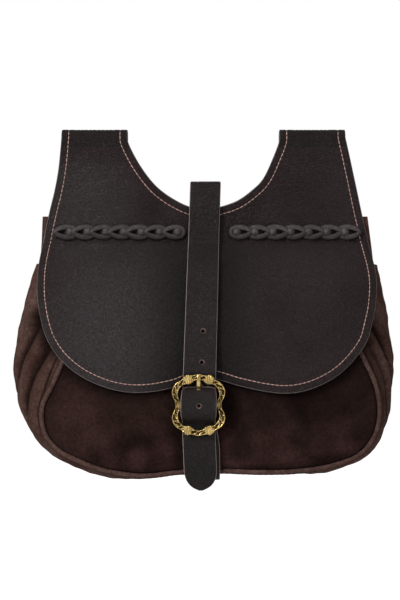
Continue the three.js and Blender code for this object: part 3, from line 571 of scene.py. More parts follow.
@dataclass
class CutSheet:
    """A wall of leather or suede cut to a flat outline, with rounded edges, laid in its place."""

    name: str
    outline: Array
    thickness: float
    place: Place
    rows: Array
    spacing: float
    holes: list[Array] = field(default_factory=list)
    edge_round: float = 0.9
    face_rings: list[Row] = field(default_factory=list)
    ring_fade: Callable[[Array], Array] | None = None
    relief: Callable[[Array, Array], Array] | None = None
    # These three marks paint into the colour: painted shade; a painted highlight on the strap; and a painted sheen on
    # the flap, which is brushed wear on the suede.
    shade: Callable[[Array, Array], Array] | None = None
    painted_highlight: Callable[[Array, Array], Array] | None = None
    wear_and_painted_sheen: Callable[[Array, Array], Array] | None = None
    raw_holes: bool = True

    def _inset(self, loop: Array, distance: float) -> Array:
        """A loop moved into the leather."""
        along = np.roll(loop, -1, axis=0) - np.roll(loop, 1, axis=0)
        along /= np.maximum(np.linalg.norm(along, axis=1, keepdims=True), 1e-9)
        inward = np.column_stack([-along[:, 1], along[:, 0]])
        fade = self.ring_fade(loop) if self.ring_fade else np.ones(len(loop))
        return loop + inward * distance * fade[:, None]

    @staticmethod
    def _turned(loop: Array, left: bool) -> Array:
        """A loop that runs anticlockwise if left is true, and clockwise if not."""
        x, y = loop[:, 0], loop[:, 1]
        area = np.sum(x * np.roll(y, -1) - np.roll(x, -1) * y)
        return loop if (area > 0) == left else loop[::-1]

    def _fill(self, loops: Sequence[Array]) -> tuple[Array, list[tuple[int, int, int]]]:
        """Triangles between the loops, over a grid of points.

        Args:
            loops: the innermost ring of the outline and of each hole.

        Returns:
            The added points, and triangles over the loops' points and then the added ones.
        """
        border = np.vstack(loops)
        cells = []
        low, high = border[:, 0].min(), border[:, 0].max()
        for i, row in enumerate(self.rows):
            across = np.arange(low + (self.spacing / 2 if i % 2 else 0), high, self.spacing)
            cells.append(np.column_stack([across, np.full(len(across), row)]))
        grid = np.vstack(cells)
        grid = grid[within(loops, grid)]
        gap = np.min(np.linalg.norm(grid[:, None] - border[None], axis=2), axis=1)
        grid = grid[gap > self.spacing * 0.45]
        points = np.vstack([border, grid])
        edges, start = [], 0
        for loop in loops:
            edges += [(start + i, start + (i + 1) % len(loop)) for i in range(len(loop))]
            start += len(loop)
        made = delaunay_2d_cdt([Vector(p) for p in points], edges, [], 0, 1e-6)
        source = [ids[0] if ids else -1 for ids in made[3]]
        faces = np.array([[source[i] for i in f] for f in made[2] if len(f) == 3])
        faces = faces[(faces >= 0).all(axis=1)]
        keep = within(loops, points[faces].mean(axis=1))
        return grid, [tuple(f) for f in faces[keep]]

    def build(self) -> bpy.types.Object:
        """The finished wall as an object."""
        loops = [self._turned(self.outline, True)] + [self._turned(h, False) for h in self.holes]
        half = self.thickness / 2
        turns = np.radians(np.linspace(90, 0, 5))
        rim = [(self.edge_round * (1 - math.cos(t)), half * math.sin(t)) for t in turns]
        face = [(r["inset"], half - r["drop"]) for r in self.face_rings][::-1]
        back = [(r["inset"], -half) for r in self.face_rings]
        section = [*face, *rim, *[(d, -n) for d, n in rim[::-1][1:]], *back]
        flat, height, edge, hole = [], [], [], []
        faces: list[tuple[int, ...]] = []
        ends: list[tuple[list[int], list[int]]] = []
        start = 0
        for which, loop in enumerate(loops):
            count = len(loop)
            usable = section if which == 0 else [*rim, *[(d, -n) for d, n in rim[::-1][1:]]]
            for distance, n in usable:
                flat.append(self._inset(loop, distance))
                height.append(np.full(count, n))
                edge.append(np.full(count, max(0.0, 1 - distance / self.edge_round) ** 0.5))
                hole.append(np.full(count, float(which > 0 and self.raw_holes)))
            faces += [tuple(start + i for i in f) for f in grid_faces(len(usable), count, wrap_columns=True)]
            last = start + (len(usable) - 1) * count
            ends.append((list(range(start, start + count)), list(range(last, last + count))))
            start += len(usable) * count
        reach = max([r["inset"] for r in self.face_rings], default=self.edge_round)
        inner = [self._inset(loops[0], reach)] + [self._inset(loop, self.edge_round) for loop in loops[1:]]
        grid, triangles = self._fill(inner)
        for side, sign in ((0, 1), (1, -1)):
            ids = np.array([*sum((e[side] for e in ends), []), *range(start, start + len(grid))])
            flat.append(grid)
            height.append(np.full(len(grid), half * sign))
            edge.append(np.zeros(len(grid)))
            hole.append(np.zeros(len(grid)))
            start += len(grid)
            faces += [tuple(ids[list(t)][:: sign]) for t in triangles]
        xy = np.vstack(flat)
        n = np.concatenate(height)
        flesh = np.clip(0.5 - n / self.thickness, 0, 1)
        if self.relief:
            n = n + self.relief(xy[:, 0], xy[:, 1])
        marks = {"edge": np.concatenate(edge), "flesh": flesh, "hole": np.concatenate(hole)}
        if not self.raw_holes:
            marks["edge"][np.isin(np.arange(len(n)), self._hole_points(loops, section, rim))] = 0
        if self.shade:
            marks["shade"] = np.clip(self.shade(xy[:, 0], xy[:, 1]), 0, 1)
        # painted sheen on the flap, brushed wear on the suede front
        if self.wear_and_painted_sheen:
            marks["wear_and_painted_sheen"] = np.clip(self.wear_and_painted_sheen(xy[:, 0], xy[:, 1]), 0, 1) * (flesh < 0.6)
        # a painted highlight, given the cut edge's pale colour
        if self.painted_highlight:
            marks["edge"] = np.maximum(marks["edge"], self.painted_highlight(xy[:, 0], xy[:, 1]) * (flesh < 0.4))
        return make_object(self.name, self.place(xy[:, 0], xy[:, 1], n), faces, marks)

    @staticmethod
    def _hole_points(loops: Sequence[Array], section: Sequence[object], rim: Sequence[object]) -> Array:
        """The numbers of the points that lie on the holes' walls."""
        start = len(loops[0]) * len(section)
        rings = 2 * len(rim) - 1
        return np.arange(start, start + rings * sum(len(loop) for loop in loops[1:]))


class NodeBench:
    """Adds nodes to a material or a node group and joins them."""

    def __init__(self, tree: bpy.types.NodeTree) -> None:
        """Starts on a tree."""
        self.tree = tree

    def add(self, kind: str, inputs: Mapping[str | int, object] | None = None, **settings: object) -> bpy.types.Node:
        """A node with its settings and inputs.

        Args:
            kind: the node's type name.
            inputs: values or output sockets, by the input's name or place.
            settings: the node's own properties.

        Returns:
            The node.
        """
        node = self.tree.nodes.new(kind)
        for key, value in settings.items():
            setattr(node, key, value)
        for key, value in (inputs or {}).items():
            if isinstance(value, bpy.types.NodeSocket):
                self.tree.links.new(value, node.inputs[key])
            else:
                node.inputs[key].default_value = value
        return node

    def math(self, operation: str, a: object, b: object = 0.0, clamp: bool = False) -> bpy.types.NodeSocket:
        """The result of a sum on two values."""
        return self.add("ShaderNodeMath", {0: a, 1: b}, operation=operation, use_clamp=clamp).outputs[0]

    def blend(self, share: object, a: object, b: object) -> bpy.types.NodeSocket:
        """A colour between two."""
        node = self.add("ShaderNodeMix", data_type="RGBA")
        for place, value in ((0, share), (6, a), (7, b)):
            if isinstance(value, bpy.types.NodeSocket):
                self.tree.links.new(value, node.inputs[place])
            else:
                node.inputs[place].default_value = value
        return node.outputs[2]

    def ramp(self, value: object, low: float, high: float, start: float = 0.0, end: float = 1.0) -> bpy.types.NodeSocket:
        """A value stretched from one range onto another, and held to it."""
        made = self.add("ShaderNodeMapRange", {0: value, 1: low, 2: high, 3: start, 4: end}, clamp=True)
        return made.outputs[0]


def new_group(name: str, inputs: Mapping[str, float], outputs: Sequence[str]) -> tuple[bpy.types.NodeTree, NodeBench]:
    """An empty shader group with named sockets.

    Args:
        name: the group's name.
        inputs: the default of each number input.
        outputs: the names of its number outputs.

    Returns:
        The group and a bench to fill it.
    """
    tree = bpy.data.node_groups.new(name, "ShaderNodeTree")
    for key, value in inputs.items():
        tree.interface.new_socket(key, in_out="INPUT", socket_type="NodeSocketFloat").default_value = value
    for key in outputs:
        tree.interface.new_socket(key, in_out="OUTPUT", socket_type="NodeSocketFloat")
    return tree, NodeBench(tree)


def grain_group() -> bpy.types.NodeTree:
    """Pebbled hide: its height, its blotches and how dull each pebble is."""
    tree, bench = new_group("hide grain", {"Pebble": 900.0, "Blotch": 30.0, "Crease": 0.5}, ["Height", "Tone", "Dullness"])
    given = tree.nodes.new("NodeGroupInput").outputs
    place = bench.add("ShaderNodeTexCoord").outputs["Object"]
    drift = bench.add("ShaderNodeTexNoise", {"Vector": place, "Scale": 260.0, "Detail": 2.0}).outputs["Color"]
    moved = bench.add("ShaderNodeVectorMath", {0: drift, 1: (0.0016, 0.0016, 0.0016)}, operation="MULTIPLY").outputs[0]
    shifted = bench.add("ShaderNodeVectorMath", {0: place, 1: moved}, operation="ADD").outputs[0]
    cells = bench.add("ShaderNodeTexVoronoi", {"Vector": shifted, "Scale": given["Pebble"]}, feature="DISTANCE_TO_EDGE")
    pebble = bench.ramp(cells.outputs[0], 0.0, 0.28)
    broad = bench.add("ShaderNodeTexNoise", {"Vector": shifted, "Scale": 560.0, "Detail": 4.0, "Roughness": 0.62}).outputs[0]
    blotch = bench.add("ShaderNodeTexNoise", {"Vector": place, "Scale": given["Blotch"], "Detail": 3.0}).outputs[0]
    height = bench.math("ADD", bench.math("MULTIPLY", pebble, given["Crease"]), broad)
    out = tree.nodes.new("NodeGroupOutput")
    tree.links.new(height, out.inputs["Height"])
    tree.links.new(bench.ramp(blotch, 0.32, 0.7), out.inputs["Tone"])
    tree.links.new(bench.ramp(broad, 0.4, 0.6), out.inputs["Dullness"])
    return tree


def nap_group() -> bpy.types.NodeTree:
    """Brushed nap: its height, its brushed patches and its fibres' tone."""
    tree, bench = new_group("brushed nap", {"Fibre": 900.0, "Patch": 22.0}, ["Height", "Patch", "Fibre"])
    given = tree.nodes.new("NodeGroupInput").outputs
    place = bench.add("ShaderNodeTexCoord").outputs["Object"]
    fibre = bench.add("ShaderNodeTexNoise", {"Vector": place, "Scale": given["Fibre"], "Detail": 3.0, "Roughness": 0.7}).outputs[0]
    tuft = bench.add("ShaderNodeTexNoise", {"Vector": place, "Scale": 320.0, "Detail": 4.0, "Roughness": 0.65}).outputs[0]
    patch = bench.add(
        "ShaderNodeTexNoise", {"Vector": place, "Scale": given["Patch"], "Detail": 5.0, "Roughness": 0.6, "Distortion": 0.6}
    ).outputs[0]
    height = bench.math("ADD", bench.math("MULTIPLY", fibre, 0.5), tuft)
    out = tree.nodes.new("NodeGroupOutput")
    tree.links.new(height, out.inputs["Height"])
    tree.links.new(bench.ramp(patch, 0.36, 0.66), out.inputs["Patch"])
    tree.links.new(bench.ramp(bench.math("ADD", fibre, tuft), 0.86, 1.14), out.inputs["Fibre"])
    return tree


def wear_and_painted_light_group() -> bpy.types.NodeTree:
    """A mark on the mesh broken up with noise: wear and cut edges, and also painted shade, sheen and highlight."""
    tree, bench = new_group("broken wear and painted light", {"Mark": 0.0, "Start": 0.3, "Full": 0.8, "Ragged": 0.25}, ["Mask"])
    given = tree.nodes.new("NodeGroupInput").outputs
    place = bench.add("ShaderNodeTexCoord").outputs["Object"]
    noise = bench.add("ShaderNodeTexNoise", {"Vector": place, "Scale": 700.0, "Detail": 4.0}).outputs[0]
    ragged = bench.math("MULTIPLY", bench.math("SUBTRACT", noise, 0.5), given["Ragged"])
    mark = bench.math("ADD", given["Mark"], ragged)
    out = tree.nodes.new("NodeGroupOutput")
    tree.links.new(bench.ramp(mark, given["Start"], given["Full"]), out.inputs["Mask"])
    return tree


@dataclass
class EffectBook:
    """The effects that several materials share."""

    grain: bpy.types.NodeTree = field(default_factory=grain_group)
    nap: bpy.types.NodeTree = field(default_factory=nap_group)
    wear_and_painted_light: bpy.types.NodeTree = field(default_factory=wear_and_painted_light_group)

    @staticmethod
    def use(bench: NodeBench, tree: bpy.types.NodeTree, **values: object) -> bpy.types.NodeOutputs:
        """Places a group in a material.

        Args:
            bench: the material's bench.
            tree: the group.
            values: its inputs, by name.

        Returns:
            Its outputs.
        """
        node = bench.add("ShaderNodeGroup", node_tree=tree)
        for key, value in values.items():
            if isinstance(value, bpy.types.NodeSocket):
                bench.tree.links.new(value, node.inputs[key])
            else:
                node.inputs[key].default_value = value
        return node.outputs


def start_material(name: str) -> tuple[bpy.types.Material, NodeBench, bpy.types.Node]:
    """A material with an empty Principled shader.

    Args:
        name: the material's name.

    Returns:
        The material, its bench and its shader.
    """
    material = bpy.data.materials.new(name)
    material.use_nodes = True
    material.node_tree.nodes.clear()
    bench = NodeBench(material.node_tree)
    shader = bench.add("ShaderNodeBsdfPrincipled")
    bench.add("ShaderNodeOutputMaterial", {"Surface": shader.outputs[0]})
    return material, bench, shader


Colour = tuple[float, float, float, float]


@dataclass(frozen=True)
class HideFinish:
    """Dyed leather: a pebbled grain side, a dull flesh side and a pale cut edge, with painted shade and a painted
    sheen.
    """

    name: str
    dark: Colour
    light: Colour
    cut_edge_and_highlight: Colour
    flesh: Colour
    roughness: float = 0.5
    pebble: float = 900.0
    bump: float = 0.0006
    polish: float = 0.42
    # the grey of the painted sheen
    wear_and_painted_sheen: Colour = (0.063, 0.0515, 0.053, 1)
    cut_start: float = 0.35
    cut_full: float = 0.75

    def make(self, book: EffectBook) -> bpy.types.Material:
        """The material.

        Args:
            book: the shared effects.

        Returns:
            The material.
        """
        material, bench, shader = start_material(self.name)
        grain = book.use(bench, book.grain, Pebble=self.pebble)
        edge = bench.add("ShaderNodeAttribute", attribute_name="edge").outputs["Fac"]
        flesh = bench.add("ShaderNodeAttribute", attribute_name="flesh").outputs["Fac"]
        hole = bench.add("ShaderNodeAttribute", attribute_name="hole").outputs["Fac"]
        shade = bench.add("ShaderNodeAttribute", attribute_name="shade").outputs["Fac"]
        # the pale cut edge, which on the strap also carries the painted highlight
        cut_edge_and_highlight = book.use(bench, book.wear_and_painted_light, Mark=edge, Start=self.cut_start, Full=self.cut_full)["Mask"]
        face = bench.blend(grain["Tone"], self.dark, self.light)
        # painted sheen: a lighter grey where its mark is high
        wear_and_painted_sheen = bench.add("ShaderNodeAttribute", attribute_name="wear_and_painted_sheen").outputs["Fac"]
        face = bench.blend(wear_and_painted_sheen, face, self.wear_and_painted_sheen)
        fine = bench.math("MULTIPLY", grain["Dullness"], 0.5)
        face = bench.blend(fine, face, tuple(0.25 * c for c in self.dark[:3]) + (1,))
        # painted shade: the shade mark darkens the colour to near-black
        face = bench.blend(bench.math("MULTIPLY", shade, 0.92), face, (0.004, 0.0025, 0.0025, 1))
        back = bench.ramp(flesh, 0.6, 0.95)
        colour = bench.blend(back, face, self.flesh)
        raw = bench.blend(hole, self.cut_edge_and_highlight, (0.30, 0.20, 0.18, 1))
        colour = bench.blend(cut_edge_and_highlight, colour, raw)
        dull = bench.ramp(grain["Dullness"], 0.0, 1.0, self.roughness - 0.07, self.roughness + 0.1)
        rough = bench.math("MAXIMUM", dull, bench.math("MULTIPLY", bench.math("MAXIMUM", cut_edge_and_highlight, back), 0.8))
        bump = bench.add("ShaderNodeBump", {"Height": grain["Height"], "Strength": 0.9, "Distance": self.bump})
        dulled = bench.math("ADD", rough, bench.math("MULTIPLY", shade, 0.4))
        for key, value in (("Base Color", colour), ("Roughness", dulled), ("Normal", bump.outputs[0])):
            bench.tree.links.new(value, shader.inputs[key])
        shader.inputs["Specular IOR Level"].default_value = self.polish
        return material


@dataclass(frozen=True)
class SuedeFinish:
    """Brushed suede with darker and lighter brushed patches."""

    name: str
    dark: Colour
    light: Colour
    lighter_wear_and_sheen: Colour
    patch: float = 22.0
    bump: float = 0.0005
    fibre: float = 0.6

    def make(self, book: EffectBook) -> bpy.types.Material:
        """The material.

        Args:
            book: the shared effects.

        Returns:
            The material.
        """
        material, bench, shader = start_material(self.name)
        nap = book.use(bench, book.nap, Patch=self.patch)
        # the lighter tone: brushed wear on the front and gusset, a painted sheen on the piping's front
        wear_and_sheen_mark = bench.add("ShaderNodeAttribute", attribute_name="wear_and_painted_sheen").outputs["Fac"]
        shade = bench.add("ShaderNodeAttribute", attribute_name="shade").outputs["Fac"]
        lighter_wear_and_sheen = book.use(bench, book.wear_and_painted_light, Mark=wear_and_sheen_mark, Start=0.15, Full=1.0, Ragged=0.35)["Mask"]
        colour = bench.blend(nap["Patch"], self.dark, self.light)
        colour = bench.blend(lighter_wear_and_sheen, colour, self.lighter_wear_and_sheen)
        fibre = bench.ramp(nap["Fibre"], 0.0, 1.0, 0.0, self.fibre)
        colour = bench.blend(fibre, colour, tuple(0.45 * c for c in self.dark[:3]) + (1,))
        # painted shade: the shade mark darkens the colour to near-black
        colour = bench.blend(bench.math("MULTIPLY", shade, 0.94), colour, (0.004, 0.0025, 0.0025, 1))
        bump = bench.add("ShaderNodeBump", {"Height": nap["Height"], "Strength": 0.8, "Distance": self.bump})
        bench.tree.links.new(colour, shader.inputs["Base Color"])
        bench.tree.links.new(bump.outputs[0], shader.inputs["Normal"])
        shader.inputs["Roughness"].default_value = 0.95
        shader.inputs["Specular IOR Level"].default_value = 0.05
        shader.inputs["Sheen Weight"].default_value = 0.04
        shader.inputs["Sheen Roughness"].default_value = 0.55
        shader.inputs["Sheen Tint"].default_value = (0.75, 0.5, 0.42, 1)
        return material


@dataclass(frozen=True)
class BrassFinish:
    """Cast, tumbled brass with dark recesses, partly patina and partly painted shade."""

    name: str
    bright: Colour = (0.9, 0.65, 0.25, 1)
    dark: Colour = (0.05, 0.028, 0.009, 1)

    def make(self, book: EffectBook) -> bpy.types.Material:
        """The material.

        Args:
            book: the shared effects.

        Returns:
            The material.
        """
        material, bench, shader = start_material(self.name)
        recess = bench.add("ShaderNodeAttribute", attribute_name="recess").outputs["Fac"]
        # darker where the recess mark is high: partly patina, partly painted shade
        patina_and_shade = book.use(bench, book.wear_and_painted_light, Mark=recess, Start=0.3, Full=0.8, Ragged=0.4)["Mask"]
        place = bench.add("ShaderNodeTexCoord").outputs["Object"]
        pits = bench.add("ShaderNodeTexNoise", {"Vector": place, "Scale": 1500.0, "Detail": 3.0}).outputs[0]
        colour = bench.blend(patina_and_shade, self.bright, self.dark)
        rough = bench.ramp(bench.math("ADD", bench.math("MULTIPLY", patina_and_shade, 0.5), pits), 0.3, 1.2, 0.2, 0.55)
        bump = bench.add("ShaderNodeBump", {"Height": pits, "Strength": 0.35, "Distance": 0.0003})
        for key, value in (("Base Color", colour), ("Roughness", rough), ("Normal", bump.outputs[0])):
            bench.tree.links.new(value, shader.inputs[key])
        shader.inputs["Metallic"].default_value = 1.0
        return material


@dataclass(frozen=True)
class ThreadFinish:
    """Waxed thread."""

    name: str
    colour: Colour = (0.55, 0.34, 0.295, 1)
    dark: Colour = (0.4, 0.235, 0.2, 1)

    def make(self, book: EffectBook) -> bpy.types.Material:
        """The material.

        Args:
            book: the shared effects.

        Returns:
            The material.
        """
        material, bench, shader = start_material(self.name)
        nap = book.use(bench, book.nap, Fibre=2600.0, Patch=160.0)
        colour = bench.blend(nap["Patch"], self.dark, self.colour)
        bump = bench.add("ShaderNodeBump", {"Height": nap["Height"], "Strength": 0.5, "Distance": 0.0001})
        bench.tree.links.new(colour, shader.inputs["Base Color"])
        bench.tree.links.new(bump.outputs[0], shader.inputs["Normal"])
        shader.inputs["Roughness"].default_value = 0.6
        return material


@dataclass(frozen=True)
class Finishes:
    """Every finish of the bag."""

    flap: bpy.types.Material
    strap: bpy.types.Material
    lace: bpy.types.Material
    suede: bpy.types.Material
    gusset: bpy.types.Material
    piping: bpy.types.Material
    brass: bpy.types.Material
    thread: bpy.types.Material
    dark_thread: bpy.types.Material

    @classmethod
    def mix_up(cls) -> Finishes:
        """Makes every finish."""
        book = EffectBook()
        flap = HideFinish(
            "smooth_leather",
            (0.021, 0.0085, 0.0085, 1),
            (0.036, 0.0195, 0.02, 1),
            (0.24, 0.2, 0.19, 1),
            (0.045, 0.028, 0.022, 1),
            bump=0.0016,
            polish=0.36,
        )
        strap = HideFinish(
            "strap_leather",
            (0.0125, 0.0068, 0.007, 1),
            (0.0225, 0.0142, 0.0146, 1),
            (0.34, 0.27, 0.255, 1),
            (0.05, 0.032, 0.026, 1),
            roughness=0.5,
            pebble=1100.0,
            polish=0.32,
        )
        lace = HideFinish(
            "lace_leather",
            (0.054, 0.039, 0.0375, 1),
            (0.1, 0.078, 0.075, 1),
            (0.05, 0.04, 0.04, 1),
            (0.05, 0.04, 0.04, 1),
            roughness=0.4,
            pebble=1400.0,
            bump=0.0002,
            polish=0.5,
        )
        suede = SuedeFinish("suede", (0.008, 0.0038, 0.0028, 1), (0.033, 0.0172, 0.0138, 1), (0.056, 0.0255, 0.0245, 1), 15.0, 0.0009, 0.45)
        gusset = SuedeFinish(
            "gusset_suede", (0.062, 0.028, 0.022, 1), (0.118, 0.063, 0.051, 1), (0.16, 0.1, 0.084, 1), 30.0, 0.0009, 0.6
        )
        piping = SuedeFinish(
            "piping_suede", (0.064, 0.032, 0.026, 1), (0.118, 0.066, 0.055, 1), (0.15, 0.09, 0.077, 1), 60.0, 0.0007
        )
        return cls(
            flap.make(book),
            strap.make(book),
            lace.make(book),
            suede.make(book),
            gusset.make(book),
            piping.make(book),
            BrassFinish("brass").make(book),
            ThreadFinish("thread").make(book),
            ThreadFinish("dark_thread", (0.05, 0.03, 0.026, 1), (0.025, 0.016, 0.014, 1)).make(book),
        )


def geometry_tree(name: str, inputs: Mapping[str, tuple[str, object]]) -> tuple[bpy.types.NodeTree, NodeBench]:
    """A geometry tree with a path in, a mesh out and named inputs.

    Args:
        name: the tree's name.
        inputs: socket type and default of each input, by name.

    Returns:
        The tree and a bench to fill it.
    """
    tree = bpy.data.node_groups.new(name, "GeometryNodeTree")
    tree.interface.new_socket("Path", in_out="INPUT", socket_type="NodeSocketGeometry")
    for key, (kind, value) in inputs.items():
        socket = tree.interface.new_socket(key, in_out="INPUT", socket_type=kind)
        if value is not None:
            socket.default_value = value
    tree.interface.new_socket("Mesh", in_out="OUTPUT", socket_type="NodeSocketGeometry")
    return tree, NodeBench(tree)


def along_path_tree(name: str, from_object: bool) -> bpy.types.NodeTree:
    """A tree that sets one shape after another along a path, standing up from its surface.

    Args:
        name: the tree's name.
        from_object: whether the shape is a given object, or else a thread's stitch.

    Returns:
        The tree.
    """
    inputs: dict[str, tuple[str, object]] = {
        "Pitch": ("NodeSocketFloat", 0.0034),
        "Length": ("NodeSocketFloat", 0.0028),
        "Width": ("NodeSocketFloat", 0.0008),
        "Height": ("NodeSocketFloat", 0.0005),
        "Unevenness": ("NodeSocketFloat", 0.05),
        "Seed": ("NodeSocketInt", 3),
        "Finish": ("NodeSocketMaterial", None),
    }
    if from_object:
        inputs["Shape"] = ("NodeSocketObject", None)
    tree, bench = geometry_tree(name, inputs)
    given = tree.nodes.new("NodeGroupInput").outputs
    curve = bench.add("GeometryNodeMeshToCurve", {0: given["Path"]}).outputs[0]
    spaced = bench.add("GeometryNodeResampleCurve", {"Curve": curve, "Length": given["Pitch"]}, mode="LENGTH").outputs[0]
    up = bench.add("GeometryNodeInputNamedAttribute", {"Name": "up"}, data_type="FLOAT_VECTOR").outputs["Attribute"]
    tangent = bench.add("GeometryNodeInputTangent").outputs[0]
    first = bench.add("FunctionNodeAlignRotationToVector", {"Vector": tangent}, axis="X").outputs[0]
    turned = bench.add("FunctionNodeAlignRotationToVector", {"Rotation": first, "Vector": up}, axis="Z", pivot_axis="X").outputs[0]
    if from_object:
        info = bench.add("GeometryNodeObjectInfo", {"Object": given["Shape"]})
        shape = info.outputs["Geometry"]
    else:
        ball = bench.add("GeometryNodeMeshUVSphere", {"Segments": 8, "Rings": 6, "Radius": 0.5}).outputs[0]
        size = bench.add("ShaderNodeCombineXYZ", {0: given["Length"], 1: given["Width"], 2: given["Height"]}).outputs[0]
        shape = bench.add("GeometryNodeTransform", {"Geometry": ball, "Scale": size}).outputs[0]
    low = bench.math("SUBTRACT", 1.0, given["Unevenness"])
    random = bench.add("FunctionNodeRandomValue", {2: low, 3: 1.0, "Seed": given["Seed"]}, data_type="FLOAT").outputs[1]
    laid = bench.add("GeometryNodeInstanceOnPoints", {"Points": spaced, "Instance": shape, "Rotation": turned, "Scale": random})
    real = bench.add("GeometryNodeRealizeInstances", {0: laid.outputs[0]}).outputs[0]
    smooth = bench.add("GeometryNodeSetShadeSmooth", {0: real}).outputs[0]
    done = bench.add("GeometryNodeSetMaterial", {"Geometry": smooth, "Material": given["Finish"]}).outputs[0]
    out = tree.nodes.new("NodeGroupOutput")
    tree.links.new(done, out.inputs["Mesh"])
    return tree


def run_tree(name: str, paths: Sequence[tuple[Array, Array]], tree: bpy.types.NodeTree, values: Mapping[str, object]) -> bpy.types.Object:
    """Runs a tree on paths and keeps the result as a plain mesh.

    Args:
        name: the new piece's name.
        paths: for each path its points and, at each, the direction away from what it lies on.
        tree: the tree.
        values: the tree's inputs, by name.

    Returns:
        The finished object.
    """
    mesh = bpy.data.meshes.new(name + " path")
    points = np.vstack([p for p, _ in paths]) * MM
    ups = np.vstack([u for _, u in paths])
    edges, start = [], 0
    for path, _ in paths:
        edges += [(start + i, start + i + 1) for i in range(len(path) - 1)]
        start += len(path)
    mesh.from_pydata(points.tolist(), edges, [])
    mesh.attributes.new("up", "FLOAT_VECTOR", "POINT").data.foreach_set("vector", ups.astype(np.float32).ravel())
    guide = bpy.data.objects.new(name + " guide", mesh)
    bpy.context.collection.objects.link(guide)
    modifier = guide.modifiers.new("row", "NODES")
    modifier.node_group = tree
    for item in tree.interface.items_tree:
        if item.item_type == "SOCKET" and item.in_out == "INPUT" and item.name in values:
            modifier[item.identifier] = values[item.name]
    graph = bpy.context.evaluated_depsgraph_get()
    made = bpy.data.meshes.new_from_object(guide.evaluated_get(graph), depsgraph=graph)
    made.name = name
    guide.modifiers.clear()
    bpy.data.objects.remove(guide)
    obj = bpy.data.objects.new(name, made)
    bpy.context.collection.objects.link(obj)
    return obj


@dataclass
class Sewing:
    """Rows of stitches."""

    finishes: Finishes
    tree: bpy.types.NodeTree = field(default_factory=lambda: along_path_tree("stitch row", False))

    def sew(self, name: str, paths: Sequence[tuple[Array, Array]], dark: bool = False, pitch: float = 3.5, width: float = 0.85) -> None:
        """Sews stitches along paths.

        Args:
            name: the piece's name.
            paths: points and directions away from the leather.
            dark: whether the thread is the dark one.
            pitch: the distance between two stitches.
            width: the thread's width.
        """
        thread = self.finishes.dark_thread if dark else self.finishes.thread
        values = {
            "Pitch": pitch * MM,
            "Length": pitch * 1.04 * MM,
            "Width": width * MM,
            "Height": width * 0.62 * MM,
            "Unevenness": 0.1,
            "Seed": 5,
            "Finish": thread,
        }
        dress(run_tree(name, paths, self.tree, values), thread, "smooth_leather")


